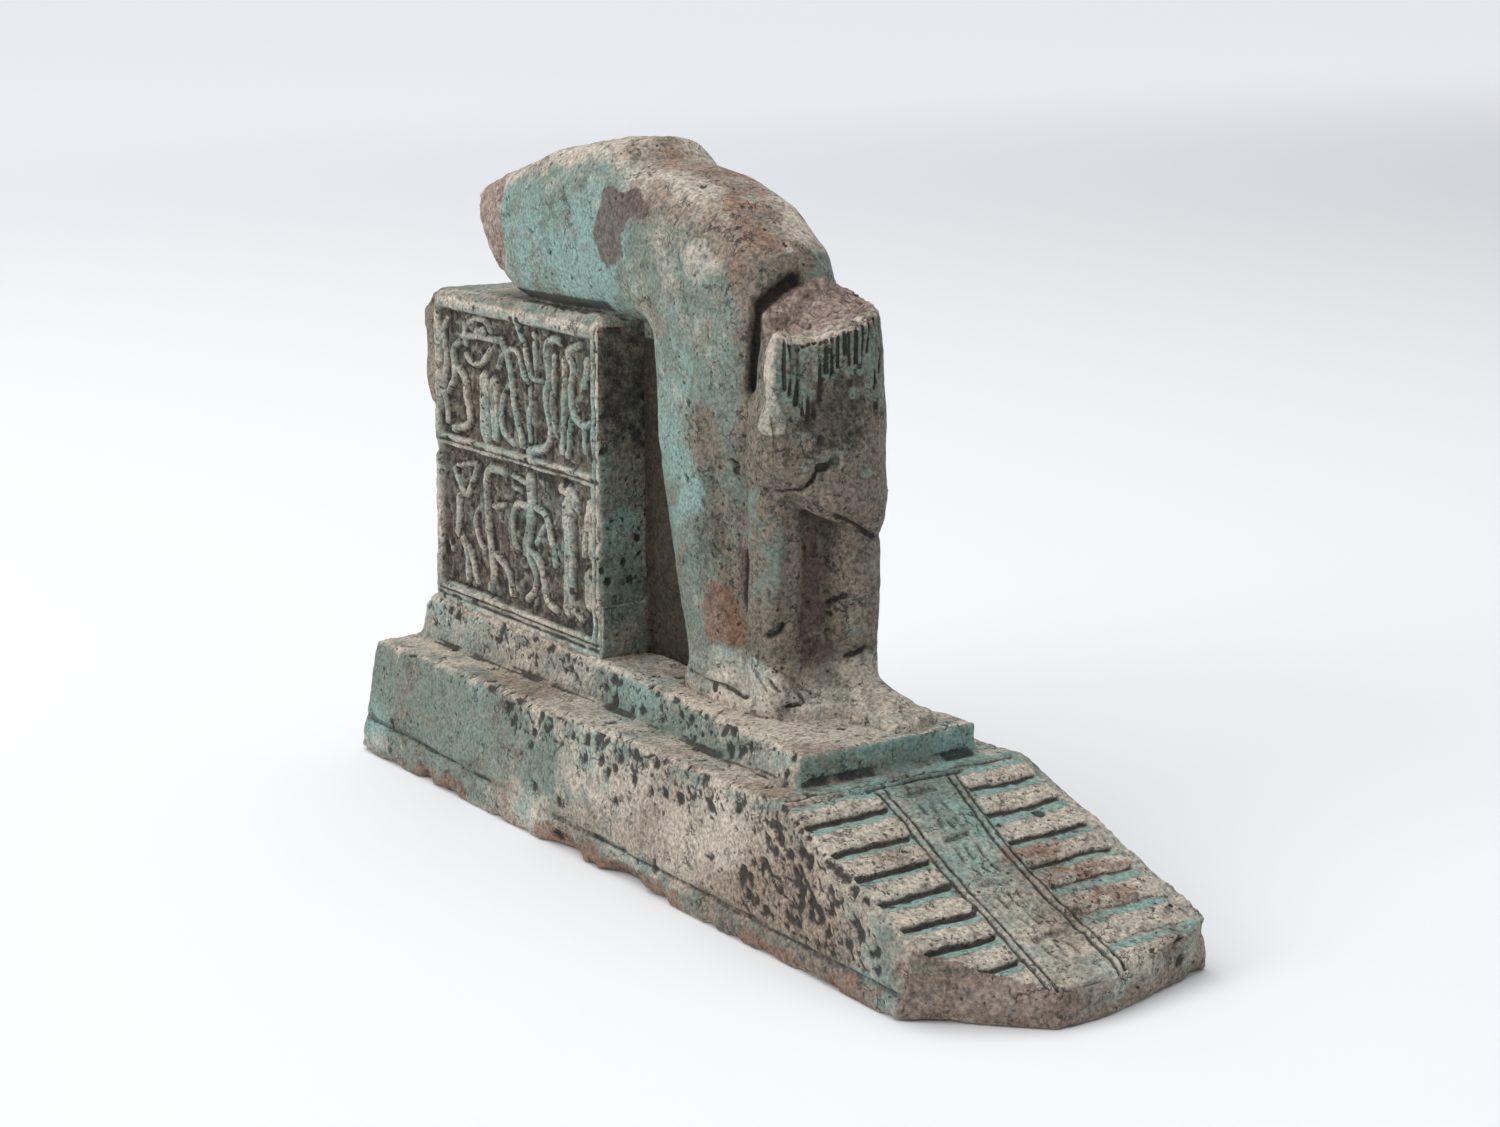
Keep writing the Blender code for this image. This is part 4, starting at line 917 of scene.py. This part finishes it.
def edgeGroup():
    # Turns a painted mask into one with a ragged edge
    group, given, result = newGroup("raggedMask", "Mask", "NodeSocketFloat", Mask=0.5, Scale=900,
        Ragged=0.8, Soft=0.12)
    tear = noiseAt(group, (-700, 150), given["Vector"], given["Scale"], 6, 0.7)
    centred = maths(group, "SUBTRACT", tear, 0.5, (-500, 150))
    scaled = maths(group, "MULTIPLY", centred, given["Ragged"], (-350, 150))
    total = maths(group, "ADD", given["Mask"], scaled, (-200, 50))
    low = maths(group, "SUBTRACT", 0.5, given["Soft"], (-350, -100))
    high = maths(group, "ADD", 0.5, given["Soft"], (-350, -250))
    feed(group, result, ranged(group, (0, 0), total, low, high, curve="SMOOTHSTEP"))
    return group


def swayed(tree, vector, place, reach):
    # The vector pushed about by noise, up to reach metres
    noise = node(tree, "ShaderNodeTexNoise", place, {"Vector": vector, "Scale": 1600, "Detail": 2})
    sockets = {0: noise.outputs["Color"], 1: (reach, reach, reach), 2: vector}
    place = (place[0] + 150, place[1] + 100)
    return node(tree, "ShaderNodeVectorMath", place, sockets, operation="MULTIPLY_ADD").outputs[0]


def cellsOf(group, given, reach, feature="F1"):
    sockets = {"Vector": swayed(group, given["Vector"], (-900, 300), reach), "Scale": given["Scale"]}
    return node(group, "ShaderNodeTexVoronoi", (-650, 100), sockets, feature=feature).outputs


def crackleGroup():
    # A broken net of fine lines
    group, given, result = newGroup("crackle", "Mask", "NodeSocketFloat", Scale=420, Width=0.04)
    cells = cellsOf(group, given, 0.0016, "DISTANCE_TO_EDGE")
    line = ranged(group, (-400, 100), cells["Distance"], 0, given["Width"], 1, 0, "SMOOTHSTEP")
    shown = ranged(group, (-400, -150), noiseAt(group, (-650, -150), given["Vector"], 330, 3), 0.50, 0.62)
    feed(group, result, maths(group, "MULTIPLY", line, shown, (100, 0)))
    return group


def speckGroup():
    # Scattered small dark specks
    group, given, result = newGroup("specks", "Mask", "NodeSocketFloat", Scale=1500, Amount=0.3)
    cells = cellsOf(group, given, 0.0007)
    dot = ranged(group, (-400, 100), cells["Distance"], 0.16, 0.30, 1, 0)
    parts = node(group, "ShaderNodeSeparateColor", (-400, -100), {0: cells["Color"]})
    chosen = maths(group, "LESS_THAN", parts.outputs[0], given["Amount"], (-150, -100))
    feed(group, result, maths(group, "MULTIPLY", dot, chosen, (100, 0)))
    return group


def newMaterial(name):
    made = bpy.data.materials.new(name)
    made.use_nodes = True
    tree = made.node_tree
    shader = tree.nodes["Principled BSDF"]
    shader.location = (1600, 0)
    tree.nodes["Material Output"].location = (1900, 0)
    vector = node(tree, "ShaderNodeTexCoord", (-1400, 0)).outputs["Object"]
    return made, tree, shader.inputs, vector


def faience(tint, ragged, specks, crackle):
    made, tree, shader, vector = newMaterial("faience")
    # The first painted layer holds bare body, earth and dark, and the last purple, shade and specks. Besides
    # soil and deposits, the earth and dark masks also hold painted shade
    painted = {}
    for name, y in (("wear", 300), ("tone", 100), ("stain", -100)):
        layer = node(tree, "ShaderNodeAttribute", (-1400, y), attribute_name=name).outputs["Color"]
        painted[name] = node(tree, "ShaderNodeSeparateColor", (-1200, y), {0: layer}).outputs

    def group(kind, place, **inputs):
        return node(tree, "ShaderNodeGroup", place, {"Vector": vector, **inputs}, node_tree=kind).outputs[0]

    def tinted(place, light, deep, shift, scale):
        light, deep = faienceLook[light], faienceLook[deep]
        return group(tint, place, Light=light, Deep=deep, Shift=shift, Patches=scale)

    def torn(place, mask, scale, tear, soft):
        return group(ragged, place, Mask=mask, Scale=scale, Ragged=tear, Soft=soft)

    strong = painted["tone"][2]
    sockets = {0: strong, 1: 0.5, 2: -0.22}
    shift = node(tree, "ShaderNodeMath", (-900, -100), sockets, operation="MULTIPLY_ADD")
    dull = tinted((-700, 200), "glazeDull", "glazeDeep", 0.12, 900)
    bright = tinted((-700, 0), "glaze", "glazeDull", shift.outputs[0], 350)
    colour = mix(tree, torn((-700, -200), strong, 500, 1.2, 0.35), dull, bright, (-400, 100))
    bare = torn((-700, -600), painted["wear"][0], 450, 1.3, 0.42)
    colour = mix(tree, bare, colour, tinted((-700, -400), "body", "bodyDark", 0.10, 700), (-200, 0))
    for i, (name, layer, channel, scale, tear, soft, strength, moved, patchScale) in enumerate(overlays):
        mask = torn((-400, -800 - 200 * i), painted[layer][channel], scale, tear, soft)
        share = maths(tree, "MULTIPLY", mask, strength, (-200, -800 - 200 * i))
        over = tinted((-700, -800 - 200 * i), name, name + "Dark", moved, patchScale)
        colour = mix(tree, share, colour, over, (150 * i, 0))
    speckled = painted["stain"][2]
    many, few = (maths(tree, "MULTIPLY", speckled, share, (-700, -1700)) for share in (0.55, 0.40))
    speck = maths(tree, "MAXIMUM", group(specks, (-400, -1600), Scale=2300, Amount=many),
        group(specks, (-400, -1750), Scale=1100, Amount=few), (-100, -1600))
    speck = maths(tree, "MAXIMUM", speck, group(crackle, (-400, -1900), Scale=430, Width=0.05), (50, -1600))
    speckShare = maths(tree, "MULTIPLY", speck, 0.80, (400, -300))
    darkMask = torn((-400, -2050), painted["wear"][2], 1400, 0.9, 0.25)
    darkShare = maths(tree, "MULTIPLY", darkMask, 0.88, (600, -300))
    colour = mix(tree, speckShare, colour, faienceLook["dark"], (600, 0))
    colour = mix(tree, darkShare, colour, faienceLook["dark"], (800, 0))
    # Painted shade: the colour is multiplied towards the hollow colour by the painted shade mask
    shade = mix(tree, painted["stain"][1], (1, 1, 1, 1), faienceLook["hollow"], (900, 200))
    feed(tree, shader["Base Color"], mix(tree, 1, colour, shade, (1200, 200), "MULTIPLY"))
    rough = ranged(tree, (1000, -200), bare, 0, 1, faienceLook["glazeRough"], faienceLook["bodyRough"])
    feed(tree, shader["Roughness"], rough)
    shader["Specular IOR Level"].default_value = faienceLook["specular"]
    fine = noiseAt(tree, (600, -600), vector, 2400, 4, 0.7)
    height = maths(tree, "ADD", fine, noiseAt(tree, (600, -800), vector, 800, 3), (800, -650))
    sunk = maths(tree, "MAXIMUM", speckShare, darkShare, (800, -850))
    height = maths(tree, "SUBTRACT", height, sunk, (1000, -650))
    sockets = {"Strength": 0.75, "Distance": faienceLook["bump"], "Height": height}
    feed(tree, shader["Normal"], node(tree, "ShaderNodeBump", (1250, -400), sockets).outputs["Normal"])
    return made


# Stage, light and camera

stageLook = {
    "sky": (0.93, 0.96, 1, 1), "skyStrength": 0.50, "topWatts": 4.4, "sideWatts": 2.4,
    "lens": 66.71, "cameraPlace": (-0.15378, -0.23002, 0.09097), "cameraTurn": (77.68, 0.21, -34.02),
}


def makeStage():
    bm = bmesh.new()
    bmesh.ops.create_grid(bm, x_segments=8, y_segments=60, size=4)
    for vert in bm.verts:
        back = max(0.0, vert.co.y - 1.2)
        vert.co.z = 0.25 * back * back
    floor = fromBmesh("floor", bm)
    floor.data.shade_smooth()
    white, tree, shader, vector = newMaterial("backdrop")
    shader["Roughness"].default_value = 0.9
    shader["Specular IOR Level"].default_value = 0.1
    shader["Emission Strength"].default_value = 1
    tone = ranged(tree, (-300, 0), noiseAt(tree, (-500, 0), vector, 3, 2), 0, 1, 0, 0.3)
    paper = mix(tree, tone, (0.86, 0.865, 0.875, 1), (0.84, 0.845, 0.86, 1), (-100, 0))
    feed(tree, shader["Base Color"], paper)
    along = node(tree, "ShaderNodeSeparateXYZ", (-500, -300), {0: vector}).outputs[1]
    away = ranged(tree, (-300, -300), along, 0.1, 1.4, curve="SMOOTHSTEP")
    glow = mix(tree, away, (0, 0, 0, 1), (0.36, 0.365, 0.385, 1), (-100, -300))
    feed(tree, shader["Emission Color"], glow)
    floor.data.materials.append(white)


def areaLight(name, place, target, size, watts):
    data = bpy.data.lights.new(name, "AREA")
    data.shape = "RECTANGLE"
    data.size, data.size_y = size
    data.energy = watts
    made = newObject(name, data)
    made.location = place
    made.rotation_euler = (Vector(target) - Vector(place)).to_track_quat("-Z", "Y").to_euler()


def makeLight():
    world = bpy.data.worlds.new("studio")
    bpy.context.scene.world = world
    world.use_nodes = True
    background = world.node_tree.nodes["Background"].inputs
    background["Color"].default_value = stageLook["sky"]
    background["Strength"].default_value = stageLook["skyStrength"]
    areaLight("topLight", (-0.10, 0.15, 0.75), (0, 0, 0.02), (0.8, 0.8), stageLook["topWatts"])
    areaLight("sideLight", (-0.80, 0.10, 0.40), (0, 0, 0.03), (0.5, 0.5), stageLook["sideWatts"])
    bpy.context.scene.view_settings.view_transform = "Standard"


def makeCamera():
    data = bpy.data.cameras.new("camera")
    data.lens = stageLook["lens"]
    data.sensor_width = 36
    data.clip_start = 0.01
    camera = newObject("camera", data)
    camera.location = stageLook["cameraPlace"]
    camera.rotation_euler = [math.radians(angle) for angle in stageLook["cameraTurn"]]
    bpy.context.scene.camera = camera


makeStage()
makeLight()
makeCamera()
print("stage ready")
material = faience(tintGroup(), edgeGroup(), speckGroup(), crackleGroup())
print("material ready")
for make in (makePlinth, makeThrone, makeFigures):
    piece = make()
    piece.data.shade_smooth()
    piece.data.materials.clear()
    piece.data.materials.append(material)
    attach(piece, "root")
    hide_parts("figurine")
    piece.data.calc_loop_triangles()
    print(piece.name, "made,", len(piece.data.loop_triangles), "triangles")
